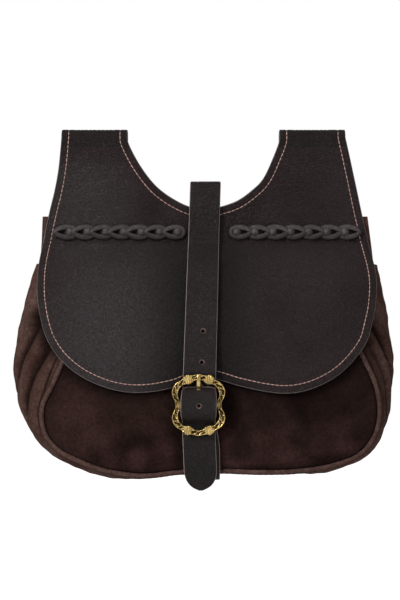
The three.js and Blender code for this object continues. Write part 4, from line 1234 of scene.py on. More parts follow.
@dataclass
class Flap:
    """The kidney-shaped flap with its folded belt loops."""

    form: BagForm
    finishes: Finishes
    sewing: Sewing
    stitch_inset: float = 5.9
    grid: float = 3.2
    outline_step: float = 2.6

    @property
    def fold_start(self) -> float:
        """Where the fold over the belt begins, on the way down the front."""
        return self.form.loop_gap / 2

    @property
    def fold_length(self) -> float:
        """The leather's length over the fold."""
        return math.pi * self.form.fold_radius

    @property
    def tab_end(self) -> float:
        """Where the back tabs end, on the way back from the front."""
        return self.fold_start - self.fold_length - (self.form.loop_drop + self.form.tab_overlap - self.fold_start)

    def tab_middle(self, z: Array) -> Array:
        """The back tabs' middle surface, as y."""
        form = self.form
        open_share = 1 - ease(-z, form.loop_drop * form.loop_open, form.loop_drop * form.loop_close)
        return mix(form.suede_wall + form.touch + form.flap_leather / 2, form.fold_radius, open_share)

    def place(self, x: Array, down: Array, n: Array) -> Array:
        """Lays the flat leather over the fold, down the front and down the back.

        Args:
            x: places across.
            down: places down the front; less than the fold's start is over and behind it.
            n: heights over the leather's middle.

        Returns:
            The points in space.
        """
        form = self.form
        turn = np.clip((self.fold_start - down) / form.fold_radius, 0, math.pi)
        radius = form.fold_radius + n
        over = np.stack([x, -radius * np.cos(turn), form.fold_z + radius * np.sin(turn)], axis=-1)
        front = beside(form.flap_middle, x, -np.maximum(down, self.fold_start), n)
        z = form.fold_z - np.maximum(self.fold_start - self.fold_length - down, 0)
        back = np.stack([x, self.tab_middle(z) + n, z], axis=-1)
        result = np.where((down >= self.fold_start)[:, None], front, over)
        return np.where((down < self.fold_start - self.fold_length)[:, None], back, result)

    def outline(self) -> Array:
        """The flat outline of the leather."""
        form = self.form
        loop_half = form.neckline_radius + form.loop_width
        lobes = [(r["across"] * form.flap_half, form.loop_drop + r["down"] * form.flap_drop) for r in FLAP_EDGE]
        left = [(-r["left"] * loop_half, r["down"] * form.loop_drop) for r in LOOP_EDGE]
        right = [(r["right"] * loop_half, r["down"] * form.loop_drop) for r in reversed(LOOP_EDGE)]
        ends = (-loop_half, self.fold_start), (loop_half, self.fold_start)
        front = smooth_curve([ends[0], *left, *lobes, *right, ends[1]], self.outline_step)
        neck = np.array([(r["across"], r["down"]) for r in NECK_EDGE]) * form.neckline_radius
        inner_right, inner_left = neck[0][0], neck[-1][0]
        ends_up = (inner_right, self.fold_start), (inner_left, self.fold_start)
        neckline = smooth_curve([ends_up[0], *neck, ends_up[1]], 2.2)

        def back(x: float) -> Array:
            """The edge over the fold and down the back, at one place across."""
            over = straight((x, self.fold_start), (x, self.fold_start - self.fold_length), 1.3)
            return np.vstack([over, straight(over[-1], (x, self.tab_end), 3)[1:]])

        return np.vstack(
            [
                front,
                back(loop_half)[1:],
                straight((loop_half, self.tab_end), (inner_right, self.tab_end), 2.6)[1:],
                back(inner_right)[::-1][1:],
                neckline[1:],
                back(inner_left)[1:],
                straight((inner_left, self.tab_end), (-loop_half, self.tab_end), 2.6)[1:],
                back(-loop_half)[::-1][1:-1],
            ]
        )

    def _corner_fade(self, loop: Array) -> Array:
        """How far rings may move in, so that they don't cross at the tabs' corners."""
        form = self.form
        half = form.neckline_radius + form.loop_width
        corners = [(s * x, self.tab_end) for s in (-1, 1) for x in (form.neckline_radius, half)]
        gap = np.min([np.hypot(loop[:, 0] - cx, loop[:, 1] - cy) for cx, cy in corners], axis=0)
        return np.clip(gap / 12, 0.25, 1)

    def slots(self) -> list[Array]:
        """The small slots that the braids' ends pass through."""
        half_x, half_z = 1.2, 3.4
        turn = np.linspace(0, 2 * math.pi, 17)[:-1]
        rounded = np.column_stack([half_x * np.cos(turn), half_z * np.sign(np.sin(turn)) * np.abs(np.sin(turn)) ** 0.5])
        return [rounded + (x, self.form.loop_drop) for x in BRAID_ENDS]

    def relief(self, x: Array, down: Array) -> Array:
        """The slow unevenness of the leather."""
        calm = ease(down, 10, 60)
        return 0.45 * soft_lumps(x, down, 46, 11) * calm + 0.12 * soft_lumps(x, down, 15, 12) * calm

    def shade(self, x: Array, down: Array) -> Array:
        """Painted shade: the smoother, darker band at the folds and the dark ground either side of the strap."""
        band = 0.55 * (1 - ease(down, 10.5, 13.5))
        from_strap = x - self.form.strap_centre(-down)
        left = 0.85 * np.exp(-((np.abs(from_strap) / 40) ** 3))
        right = np.exp(-((np.abs(from_strap) / 36) ** 3))
        near = np.where(from_strap < 0, left, right) * ease(down, 62, 110)
        return np.maximum(band, near)

    def wear_and_painted_sheen(self, x: Array, down: Array) -> Array:
        """How strong the painted grey sheen is: most on the left lobe, least at the edges."""
        spots = ((-72, 150, 48, 66, 0.95), (-92, 66, 34, 56, 0.8), (74, 112, 44, 36, 0.3), (98, 56, 26, 36, 0.12))
        mark = np.zeros(np.shape(x))
        for across, drop, half_x, half_z, most in spots:
            far = ((x - across) / half_x) ** 2 + ((down - drop) / half_z) ** 2
            mark = np.maximum(mark, most * np.exp(-(far**1.5)))
        return mark * ease(down, 14, 30)

    def build(self) -> None:
        """Cuts, lays and sews the flap."""
        form = self.form
        over = np.arange(self.fold_start - self.fold_length, self.fold_start, 1.5)
        front = np.arange(self.fold_start + 1.2, form.loop_drop + form.flap_drop, self.grid * 0.87)
        tabs = np.arange(self.tab_end + 2, self.fold_start - self.fold_length - 1, self.grid)
        inset = self.stitch_inset
        drops = ((-3.8, 0.0), (-2.2, -0.06), (-1.1, -0.05), (-0.45, 0.22), (0.15, 0.28), (0.8, 0.06), (2.0, -0.05), (3.6, 0))
        sheet = CutSheet(
            "flap_leather",
            self.outline(),
            form.flap_leather,
            self.place,
            np.concatenate([tabs, over, front]),
            self.grid,
            holes=self.slots(),
            edge_round=0.8,
            face_rings=[{"inset": inset + at, "drop": drop} for at, drop in drops],
            ring_fade=self._corner_fade,
            relief=self.relief,
            # painted shade at the folds and beside the strap, and a painted sheen on the lobes
            shade=self.shade,
            wear_and_painted_sheen=self.wear_and_painted_sheen,
            raw_holes=False,
        )
        leather = sheet.build()
        dress(leather, self.finishes.flap, "smooth_leather", "flap")
        self.sewing.sew("flap_stitches", self.stitch_paths())

    def stitch_paths(self) -> list[tuple[Array, Array]]:
        """The thread's way round the lobes and round the neckline."""
        line = self.outline()
        along = np.roll(line, -1, axis=0) - np.roll(line, 1, axis=0)
        along /= np.linalg.norm(along, axis=1, keepdims=True)
        inward = np.column_stack([-along[:, 1], along[:, 0]])
        x, y = line[:, 0], line[:, 1]
        if np.sum(x * np.roll(y, -1) - np.roll(x, -1) * y) < 0:
            inward = -inward
        moved = line + inward * self.stitch_inset
        front = line[:, 1] > 1.0
        paths = []
        jumps = np.flatnonzero(front & ~np.roll(front, 1))
        for start in jumps:
            run = []
            i = start
            while front[i % len(line)] and len(run) < len(line):
                run.append(i % len(line))
                i += 1
            flat = moved[run]
            n = self.form.flap_leather / 2 - 0.12 + self.relief(flat[:, 0], flat[:, 1])
            low = self.place(flat[:, 0], flat[:, 1], n)
            high = self.place(flat[:, 0], flat[:, 1], n + 1)
            paths.append((low, high - low))
        return paths


BRAID_ENDS = (-15.5, -115.6, 21.5, 121.6)


@dataclass
class Pouch:
    """The suede pouch: front, gusset, back and piping."""

    form: BagForm
    finishes: Finishes
    sewing: Sewing
    along_steps: int = 330
    over_steps: int = 110

    def edge(self, rows: Sequence[Row], count: int) -> Array:
        """An outline of the pouch, evenly spaced, as x and down."""
        form = self.form
        return smooth_curve([(r["across"] * form.pouch_half, form.pouch_top + r["down"] * form.pouch_drop) for r in rows], count=count)

    @staticmethod
    def outwards(edge: Array, distance: float) -> Array:
        """An open outline moved outwards."""
        along = np.gradient(edge, axis=0)
        along /= np.linalg.norm(along, axis=1, keepdims=True)
        return edge + np.column_stack([-along[:, 1], along[:, 0]]) * distance

    def piping_path(self, count: int) -> Array:
        """The middle of the piping."""
        form = self.form
        seam = self.edge(FRONT_EDGE, count)
        line = self.outwards(seam, form.piping_radius + form.touch)
        return np.column_stack([line[:, 0], form.front_middle(seam[:, 0], -seam[:, 1]) + form.piping_set_back, -line[:, 1]])

    def front_relief(self, x: Array, down: Array) -> Array:
        """The suede front's soft dents."""
        return 1.1 * soft_lumps(x, down, 52, 21) + 0.45 * soft_lumps(x, down, 19, 22)

    def build_front(self) -> None:
        """The suede front."""
        form = self.form
        edge = smooth_curve([(r["across"] * form.pouch_half, form.pouch_top + r["down"] * form.pouch_drop) for r in FRONT_EDGE], 2.6)
        mouth = straight(edge[-1], edge[0], 3)[1:-1]

        def place(x: Array, down: Array, n: Array) -> Array:
            """Lays the suede on the pouch's front."""
            return beside(form.front_middle, x, -down, n)

        sheet = CutSheet(
            "front_suede",
            np.vstack([edge, mouth]),
            form.suede_wall,
            place,
            np.arange(edge[0][1] + 2, form.pouch_bottom, 3.0),
            3.4,
            edge_round=0.6,
            relief=lambda x, down: self.front_relief(x, down) * ease(self._seam_gap(x, down), 1, 14),
            # painted shade along the seam, and painted shadow under the flap's edge
            shade=lambda x, down: np.maximum(0.95 * np.exp(-self._seam_gap(x, down) / 0.9), self._flap_shade(x, down)),
            wear_and_painted_sheen=self._brushed,
        )
        obj = sheet.build()
        dress(obj, self.finishes.suede, "suede", "pouch_front")

    def _brushed(self, x: Array, down: Array) -> Array:
        """Where the nap is brushed up: in patches near the bottom, and most at the lower left."""
        low = ease(down, self.form.pouch_bottom - 62, self.form.pouch_bottom - 14)
        patches = np.clip(0.55 + 0.6 * soft_lumps(x, down * 1.8, 30, 61), 0, 1)
        corner = np.exp(-(((x + 96) / 18) ** 2) - ((down - self.form.pouch_bottom + 52) / 20) ** 2)
        return np.clip(0.9 * low * patches + 0.7 * corner, 0, 1)

    def _flap_shade(self, x: Array, down: Array) -> Array:
        """The painted shadow along the flap's lower edge."""
        return 0.85 * np.exp(-self._flap_gap(x, down) / 5.5)

    def _fold_shade(self, x: Array, down: Array) -> Array:
        """The painted shadow in the pockets where the gusset's folds go in under the flap, the larger one at the left.
        """
        gap = self._flap_gap(x, down)
        left = np.exp(-((gap / 9.5) ** 2)) * ease(down, 134, 146) * (1 - ease(down, 168, 188))
        right = 0.9 * np.exp(-((gap / 6.5) ** 2)) * ease(down, 156, 168) * (1 - ease(down, 178, 192))
        return np.where(x < 0, left, right)

    def _flap_gap(self, x: Array, down: Array) -> Array:
        """The distance to the flap's edge."""
        form = self.form
        rim = smooth_curve([(r["across"] * form.flap_half, form.loop_drop + r["down"] * form.flap_drop) for r in FLAP_EDGE], 4)
        gap = np.full(len(x), 1e9)
        for rx, ry in rim:
            gap = np.minimum(gap, np.hypot(x - rx, down - ry))
        return gap

    def _seam_gap(self, x: Array, down: Array) -> Array:
        """The distance to the front's seam."""
        seam = self.edge(FRONT_EDGE, 200)
        gap = np.full(len(x), 1e9)
        for sx, sy in seam:
            gap = np.minimum(gap, np.hypot(x - sx, down - sy))
        return gap

    def gusset_grid(self, lines: int, columns: int) -> tuple[Array, Array, Array]:
        """The gusset's middle surface.

        Args:
            lines: the steps along its run.
            columns: the steps from its back to its front seam.

        Returns:
            The points, and the shares along and over at each.
        """
        form = self.form
        front = self.piping_path(lines)
        front[:, 1] += form.piping_radius + form.seam_clear
        side = self.outwards(self.edge(SIDE_EDGE, lines), -form.suede_wall / 2)
        whole = self.edge(BACK_EDGE, lines * 6)
        low = whole[whole[:, 1] > form.pouch_top + form.gusset_top]
        seam = self.outwards(smooth_curve(low[::12], count=lines), -form.back_seam_inset)
        back = np.column_stack([seam[:, 0], np.full(lines + 1, -form.touch - form.suede_wall / 2), -seam[:, 1]])
        widest = np.column_stack([side[:, 0], (back[:, 1] + front[:, 1]) / 2, -side[:, 1]])
        swell = widest - (back + front) / 2
        over = np.linspace(0, 1, columns + 1)
        points = back[:, None] + (front - back)[:, None] * over[None, :, None]
        points = points + swell[:, None] * (4 * over * (1 - over))[None, :, None]
        along = np.repeat(np.linspace(0, 1, lines + 1)[:, None], columns + 1, axis=1)
        return points, along, np.repeat(over[None], lines + 1, axis=0)

    def crease_depth(self, along: Array, over: Array) -> tuple[Array, Array]:
        """How deep the creases press the gusset in, and how dark their painted shade is."""
        depth = np.zeros(np.shape(along))
        dark = np.zeros(np.shape(along))
        for c in GUSSET_CREASES:
            share = (along - c["along_from"]) / (c["along_to"] - c["along_from"])
            line = mix(c["over_from"], c["over_to"], share)
            fade = ease(share, -0.04, 0.06) * (1 - 0.4 * np.clip(share, 0, 1)) * ease(1.08 - share, 0, 0.14)
            wide = mix(2.1, 0.8, np.clip(share, 0, 1) ** 0.7)
            gap = np.abs(over - line)
            deep = c["deep"] * self.form.pouch_depth * fade
            swell = np.exp(-(((gap - 0.17) / 0.075) ** 2))
            under = (over - line) * c["lap"] > 0
            slope = np.where(under, 0.075, 0.03) * wide
            dip = 0.85 * np.exp(-((gap / slope) ** 2)) + 0.5 * np.exp(-gap / 0.014)
            depth = depth + deep * (dip - 0.16 * swell)
            strength = min(1.0, c["deep"] / 0.06)
            # painted shade: a dark line along each crease and a shadow beside it, wider on the side that goes under
            crease_line_shade = np.exp(-((gap / (0.02 * wide)) ** 2))
            crease_side_shade = np.where(under, 0.62, 0.3) * np.exp(-gap / (np.where(under, 0.06, 0.02) * wide))
            dark = np.maximum(dark, fade**0.5 * np.maximum(crease_line_shade, crease_side_shade) * strength)
        return depth, dark

    def build_gusset(self) -> None:
        """The gusset with its bellows folds."""
        form = self.form
        points, along, over = self.gusset_grid(self.along_steps, self.over_steps)
        run = np.gradient(points, axis=0)
        way = np.gradient(points, axis=1)
        normal = np.cross(run, way)
        normal /= np.linalg.norm(normal, axis=-1, keepdims=True)
        depth, dark = self.crease_depth(along, over)
        fade = np.sin(math.pi * over) ** 0.5
        lumps = 0.7 * soft_lumps(along * 620, over * 90, 34, 31) + 0.25 * soft_lumps(along * 620, over * 90, 12, 32)
        pressed = points + normal * (fade * lumps - depth)[..., None]
        half = form.suede_wall / 2
        outer = pressed + normal * half
        inner = pressed - normal * half
        rows = self.along_steps + 1
        section = np.concatenate([outer, inner[:, ::-1]], axis=1)
        columns = section.shape[1]
        faces = grid_faces(rows, columns, wrap_columns=True)
        faces.append(tuple(range(columns)))
        faces.append(tuple(range((rows - 1) * columns, rows * columns))[::-1])
        # painted shade: the creases, a dark line beside the piping and the pockets under the flap
        piping_shadow_line = np.maximum(ease(over, 0.965, 0.995), np.exp(-(((over - 0.945) / 0.014) ** 2)))
        seam = np.maximum(dark, 0.95 * piping_shadow_line)
        down = -points[..., 2].ravel()
        seam = np.maximum(seam, self._fold_shade(points[..., 0].ravel(), down).reshape(seam.shape))
        shade = np.concatenate([seam, seam[:, ::-1]], axis=1).ravel()
        bulge = np.clip(0.35 + 0.5 * soft_lumps(along * 620, over * 90, 40, 33), 0, 1) * (1 - dark)
        lighter_wear_and_sheen = np.concatenate([bulge, bulge[:, ::-1]], axis=1).ravel() * 0.7
        obj = make_object("gusset_suede", section.reshape(-1, 3), faces, {"shade": shade, "wear_and_painted_sheen": lighter_wear_and_sheen})
        dress(obj, self.finishes.gusset, "suede", "pouch_gusset")

    def build_back(self) -> None:
        """The flat back."""
        form = self.form
        edge = smooth_curve([(r["across"] * form.pouch_half, form.pouch_top + r["down"] * form.pouch_drop) for r in BACK_EDGE], 3)
        top = straight(edge[-1], edge[0], 3)[1:-1]

        def place(x: Array, down: Array, n: Array) -> Array:
            """Lays the suede flat."""
            return np.stack([x, form.suede_wall / 2 - n, -down], axis=-1)

        sheet = CutSheet(
            "back_suede", np.vstack([edge, top]), form.suede_wall, place, np.arange(form.pouch_top + 4, form.pouch_bottom, 6.0), 7.0, edge_round=0.6
        )
        dress(sheet.build(), self.finishes.gusset, "suede", "pouch_back")

    def build_piping(self) -> None:
        """The rounded, napped seam between front and gusset."""
        form = self.form
        path = self.piping_path(420)
        run = np.gradient(path, axis=0)
        run /= np.linalg.norm(run, axis=1, keepdims=True)
        forward = np.tile([0.0, -1.0, 0.0], (len(path), 1))
        forward -= run * np.sum(forward * run, axis=1, keepdims=True)
        forward /= np.linalg.norm(forward, axis=1, keepdims=True)
        aside = np.cross(run, forward)
        turn = np.linspace(0, 2 * math.pi, 17)[:-1]
        pucker = 1 + 0.03 * np.sin(np.arange(len(path)) * 1.9) + 0.03 * soft_lumps(np.arange(len(path)) * 1.1, np.zeros(len(path)), 9, 41)
        radius = form.piping_radius * pucker
        ring = path[:, None] + radius[:, None, None] * (
            forward[:, None] * np.cos(turn)[None, :, None] + aside[:, None] * np.sin(turn)[None, :, None]
        )
        faces = grid_faces(len(path), len(turn), wrap_columns=True)
        faces.append(tuple(range(len(turn))))
        faces.append(tuple(range((len(path) - 1) * len(turn), len(path) * len(turn)))[::-1])
        # painted sheen lighter on the roll's front, and painted shade down its sides and back
        lighter_wear_and_sheen = np.tile(np.clip(np.cos(turn), 0, 1) * 0.45, len(path))
        shade = np.tile(ease(-np.cos(turn), -0.8, -0.2), len(path))
        obj = make_object("piping_roll", ring.reshape(-1, 3), faces, {"wear_and_painted_sheen": lighter_wear_and_sheen, "shade": shade})
        dress(obj, self.finishes.piping, "suede_piping", "piping")

    def build(self) -> None:
        """Every piece of the pouch."""
        self.build_front()
        self.build_gusset()
        self.build_back()
        self.build_piping()


@dataclass
class Straps:
    """The front strap with its holes, and the short strap that carries the buckle."""

    form: BagForm
    finishes: Finishes
    sewing: Sewing
    strap_leather: float = 2.8
    strap_tail: float = 40.0
    buckle_strap_leather: float = 2.4
    buckle_strap_tail: float = 82.0
    buckle_drop: float = 211.0
    buckle_width: float = 41.0
    buckle_height: float = 46.4
    buckle_thickness: float = 3.5
    bar_radius: float = 1.6
    prong_width: float = 3.2
    prong_thickness: float = 1.8
    strap_hole: float = 3.0
    hole_pitch: float = 23.5
    buckle_spread: float = 0.08
    prong_rise: float = 0.62
    tip_round: float = 0.6

    def __post_init__(self) -> None:
        """Works out the depths at the buckle, from the suede outwards."""
        form = self.form
        self.buckle_z = -self.buckle_drop
        self.frame_half = self.buckle_height / 2
        rest = form.under_strap(form.front_middle)(np.array(0.0), np.array(self.buckle_z - self.frame_half))
        front = float(rest) - form.suede_wall / 2
        self.buckle_strap_y = front - 2 * form.touch - self.buckle_strap_leather / 2
        self.under_y = self.buckle_strap_y - self.buckle_strap_leather / 2 - form.touch - self.strap_leather / 2
        self.frame_y = self.under_y - self.strap_leather / 2 - 3 * form.touch - self.buckle_thickness / 2
        self.fold_out = self.bar_radius + 1.5 * form.touch + self.buckle_strap_leather
        self.crown_y = self.frame_y - self.fold_out - form.touch - self.strap_leather / 2

    def billet_path(self) -> Array:
        """The front strap's way, as y and z, from its tip to its sewn end."""
        form = self.form
        on_flap = form.under_strap(form.flap_middle)

        def lie(z: float) -> tuple[float, float]:
            """A point of the strap on the flap."""
            p = beside(on_flap, np.array(0.0), np.array(z), form.flap_leather / 2 + 4 * form.touch + self.strap_leather / 2)
            return float(p[1]), float(p[2])

        fold_y = (form.loop_gap + self.strap_leather) / 2
        fold_z = -form.strap_top - form.loop_gap / 2
        back_y = form.suede_wall + form.touch + self.strap_leather / 2
        crossing = [(mix(self.under_y, self.crown_y, r["rise"]), r["from"] * self.frame_half) for r in BUCKLE_CROSSING]
        half = fold_y * math.sqrt(0.5)
        points = [
            (self.under_y + 1, -form.strap_tip),
            (self.under_y, self.buckle_z - self.frame_half * 1.9),
            (self.under_y, self.buckle_z - self.frame_half * 1.3),
            (self.under_y, self.buckle_z - self.frame_half),
            *[(y, self.buckle_z - rise) for y, rise in crossing],
            (self.crown_y, self.buckle_z),
            *[(y, self.buckle_z + rise) for y, rise in reversed(crossing)],
            (self.under_y, self.buckle_z + self.frame_half * 1.05),
            *[lie(z) for z in (-165, -145, -125, -108, -97, -90, form.lacing_z, -64)],
            (-fold_y, fold_z - 5),
            (-fold_y, fold_z),
            (-half, fold_z + half),
            (0, fold_z + fold_y),
            (half, fold_z + half),
            (fold_y, fold_z),
            (fold_y, fold_z - 5),
            (back_y, form.lacing_z),
            (back_y, form.lacing_z - self.strap_tail),
        ]
        return smooth_curve(points, 0.9)

    def buckle_strap_path(self) -> Array:
        """The buckle strap's way, as y and z, from the back to round the bar."""
        form = self.form
        half = self.buckle_strap_leather / 2
        corner_z = -(form.pouch_top + 0.971 * form.pouch_drop)
        corner_y = float(form.front_middle(0.0, corner_z)) + form.piping_set_back - 3 * form.touch
        wrap = form.piping_radius + 4 * form.touch + half
        under_z = min(corner_z - form.piping_radius - form.touch - wrap, -(form.pouch_top + 0.99 * form.pouch_drop) - form.touch - half)
        back_y = form.suede_wall + 2 * form.touch + half
        round_bar = self.bar_radius + 1.5 * form.touch + half
        corner = 5.0

        def bend(y: float, z: float, radius: float, start: float, stop: float, steps: int) -> list[tuple[float, float]]:
            """Points of an arc."""
            turns = np.linspace(start, stop, steps + 1) * math.pi
            return [(y + radius * math.cos(t), z + radius * math.sin(t)) for t in turns]

        up = min(corner_y - wrap, self.buckle_strap_y + 1)
        points = [
            (back_y, under_z + self.buckle_strap_tail),
            (back_y, under_z + self.buckle_strap_tail / 2),
            *bend(back_y - corner, under_z + corner, corner, 0, -0.5, 6),
            (corner_y * 0.5, under_z),
            *bend(corner_y, under_z + wrap, wrap, -0.5, -1, 6),
            (up, corner_z + 8),
            (mix(up, self.buckle_strap_y, 0.6), self.buckle_z - self.frame_half * 1.5),
            (self.buckle_strap_y, self.buckle_z - self.frame_half * 1.15),
            (self.buckle_strap_y, self.buckle_z - self.frame_half * 0.7),
            (self.buckle_strap_y - 0.3, self.buckle_z - self.frame_half * 0.5),
            (mix(self.buckle_strap_y, self.frame_y + round_bar, 0.55), self.buckle_z - self.frame_half * 0.3),
            *bend(self.frame_y, self.buckle_z, round_bar, -0.12, 1.2, 12),
        ]
        return smooth_curve(points, 0.7)

    @staticmethod
    def runner(path: Array, centre: Callable[[Array], Array]) -> tuple[Place, float]:
        """A function that lays a flat strap along a path.

        Args:
            path: the way, as y and z.
            centre: the strap's middle across, by height.

        Returns:
            The placing function over x and the way along, and the path's length.
        """
        steps = np.linalg.norm(np.diff(path, axis=0), axis=1)
        way = np.concatenate([[0], np.cumsum(steps)])
        tangent = np.gradient(path, way, axis=0)
        tangent /= np.linalg.norm(tangent, axis=1, keepdims=True)

        def place(x: Array, s: Array, n: Array) -> Array:
            """Lays the strap."""
            y, z = np.interp(s, way, path[:, 0]), np.interp(s, way, path[:, 1])
            ty, tz = np.interp(s, way, tangent[:, 0]), np.interp(s, way, tangent[:, 1])
            return np.stack([centre(z) + x, y - tz * n, z + ty * n], axis=-1)

        return place, float(way[-1])

    @staticmethod
    def way_at(path: Array, z: float) -> float:
        """How far along a path its front side reaches a height."""
        steps = np.linalg.norm(np.diff(path, axis=0), axis=1)
        way = np.concatenate([[0], np.cumsum(steps)])
        front = np.flatnonzero(path[:, 0] < 0)
        return float(way[front[np.argmin(np.abs(path[front, 1] - z))]])

    def build_billet(self) -> None:
        """The pointed strap with its punched holes."""
        form = self.form
        path = self.billet_path()
        place, length = self.runner(path, form.strap_centre)
        tip = smooth_table(TIP_FORM, "from", "wide")
        at_z = np.interp(np.linspace(0, length, 400), np.concatenate([[0], np.cumsum(np.linalg.norm(np.diff(path, axis=0), axis=1))]), path[:, 1])
        at_y = np.interp(np.linspace(0, length, 400), np.concatenate([[0], np.cumsum(np.linalg.norm(np.diff(path, axis=0), axis=1))]), path[:, 0])
        taper = mix(1, 0.97, ease(at_z, self.buckle_z, -form.strap_top))
        spread = np.exp(-(((at_z - self.buckle_z) / (self.frame_half * 0.45)) ** 4)) * (at_y < self.frame_y)
        half = form.strap_width / 2 * taper * (1 + self.buckle_spread * spread) * tip(np.linspace(0, length, 400))
        ways = np.concatenate([np.linspace(0.05, 16, 15)[:-1], np.arange(16, length, 2.2), [length]])
        widths = np.interp(ways, np.linspace(0, length, 400), half) * (1 - self.tip_round * np.exp(-ways / 1.1))
        outline = np.vstack([np.column_stack([widths, ways]), np.column_stack([-widths, ways])[::-1]])
        turn = np.linspace(0, 2 * math.pi, 21)[:-1]
        circle = np.column_stack([np.cos(turn), np.sin(turn)]) * self.strap_hole / 2
        holes = []
        for row in STRAP_HOLES:
            z = self.buckle_z + row["up"] * self.hole_pitch
            holes.append(circle + (row["aside"], self.way_at(path, z)))
        prong_way = self.way_at(path, self.buckle_z + self.frame_half * self.prong_rise)
        stretched = circle * (1.35, 1.5) + (0, prong_way)
        brow = self.way_at(path, self.buckle_z + self.frame_half * 0.53)
        chin = self.way_at(path, self.buckle_z - self.frame_half * 0.5)

        def painted_highlight(x: Array, s: Array) -> Array:
            """The painted highlight along the ridge where the strap bends over into the frame."""
            bow = 0.02 * np.abs(x) ** 2 * ease(np.abs(x), 8, 13)
            return 0.95 * np.exp(-(((s + bow - brow) / 0.8) ** 2)) * (np.abs(x) < 13.4)

        def shade(x: Array, s: Array) -> Array:
            """Painted shade on the strap behind the frame's ends, and darker towards the tip."""
            above = ease(s, brow + 0.4, brow + 1.4) * (1 - ease(s, brow + 9, brow + 13))
            below = (1 - ease(s, chin - 2.5, chin - 0.5)) * ease(s, chin - 12, chin - 8)
            tip_end = 0.4 * (1 - ease(s, 18, 44))
            return np.maximum(0.9 * np.maximum(above, 0.8 * below), tip_end)

        sheet = CutSheet(
            "billet_leather",
            outline,
            self.strap_leather,
            place,
            np.sort(np.concatenate([np.arange(1.5, length - 1, 1.1), brow + np.array([-1.3, -0.85, -0.4, 0.05, 0.5, 0.95])])),
            1.7,
            holes=[*holes, stretched],
            edge_round=0.75,
            relief=lambda x, s: 0.16 * soft_lumps(x, s, 24, 51),
            shade=shade,
            painted_highlight=painted_highlight,
        )
        dress(sheet.build(), self.finishes.strap, "strap_leather", "billet_strap")
        ends = []
        for s in (length - 4.5, length - 9.5):
            x = np.linspace(-9, 9, 13)
            n = np.full(13, self.strap_leather / 2 - 0.1)
            low, high = place(x, np.full(13, s), n), place(x, np.full(13, s), n + 1)
            ends.append((low, high - low))
        self.sewing.sew("billet_end_stitches", ends)

    def build_buckle_strap(self) -> None:
        """The short strap that is folded round the buckle's bar."""
        form = self.form
        path = self.buckle_strap_path()

        def centre(z: Array) -> Array:
            """The strap's middle, which stands out to the right below the buckle."""
            return form.strap_centre(self.buckle_z) + 4 * ease(-z, self.buckle_drop + 4, self.buckle_drop + self.frame_half * 1.6)

        place, length = self.runner(path, centre)
        half = form.strap_width * 0.49
        ways = np.arange(0, length, 2.2)
        outline = np.vstack([np.column_stack([np.full(len(ways), half), ways]), np.column_stack([np.full(len(ways), -half), ways])[::-1]])
        bar_way = length - (1.32 * math.pi * (self.bar_radius + 1.5 * form.touch + self.buckle_strap_leather / 2)) * 0.55
        turn = np.linspace(0, 2 * math.pi, 29)[:-1]
        slot = np.column_stack([2.4 * np.cos(turn), 7.0 * np.sign(np.sin(turn)) * np.abs(np.sin(turn)) ** 0.6]) + (0, bar_way - 2.5)
        sheet = CutSheet(
            "buckle_strap_leather",
            outline,
            self.buckle_strap_leather,
            place,
            np.arange(1.5, length - 1, 1.1),
            2.6,
            holes=[slot],
            edge_round=0.7,
            relief=lambda x, s: 0.12 * soft_lumps(x, s, 24, 52),
        )
        dress(sheet.build(), self.finishes.strap, "strap_leather", "buckle_strap")
        ends = []
        for s in (4.5, 9.5):
            x = np.linspace(-9, 9, 13)
            n = np.full(13, -self.buckle_strap_leather / 2 + 0.1)
            low, high = place(x, np.full(13, s), n), place(x, np.full(13, s), n - 1)
            ends.append((low, high - low))
        self.sewing.sew("buckle_strap_stitches", ends)

    def build(self) -> None:
        """Both straps."""
        self.build_billet()
        self.build_buckle_strap()


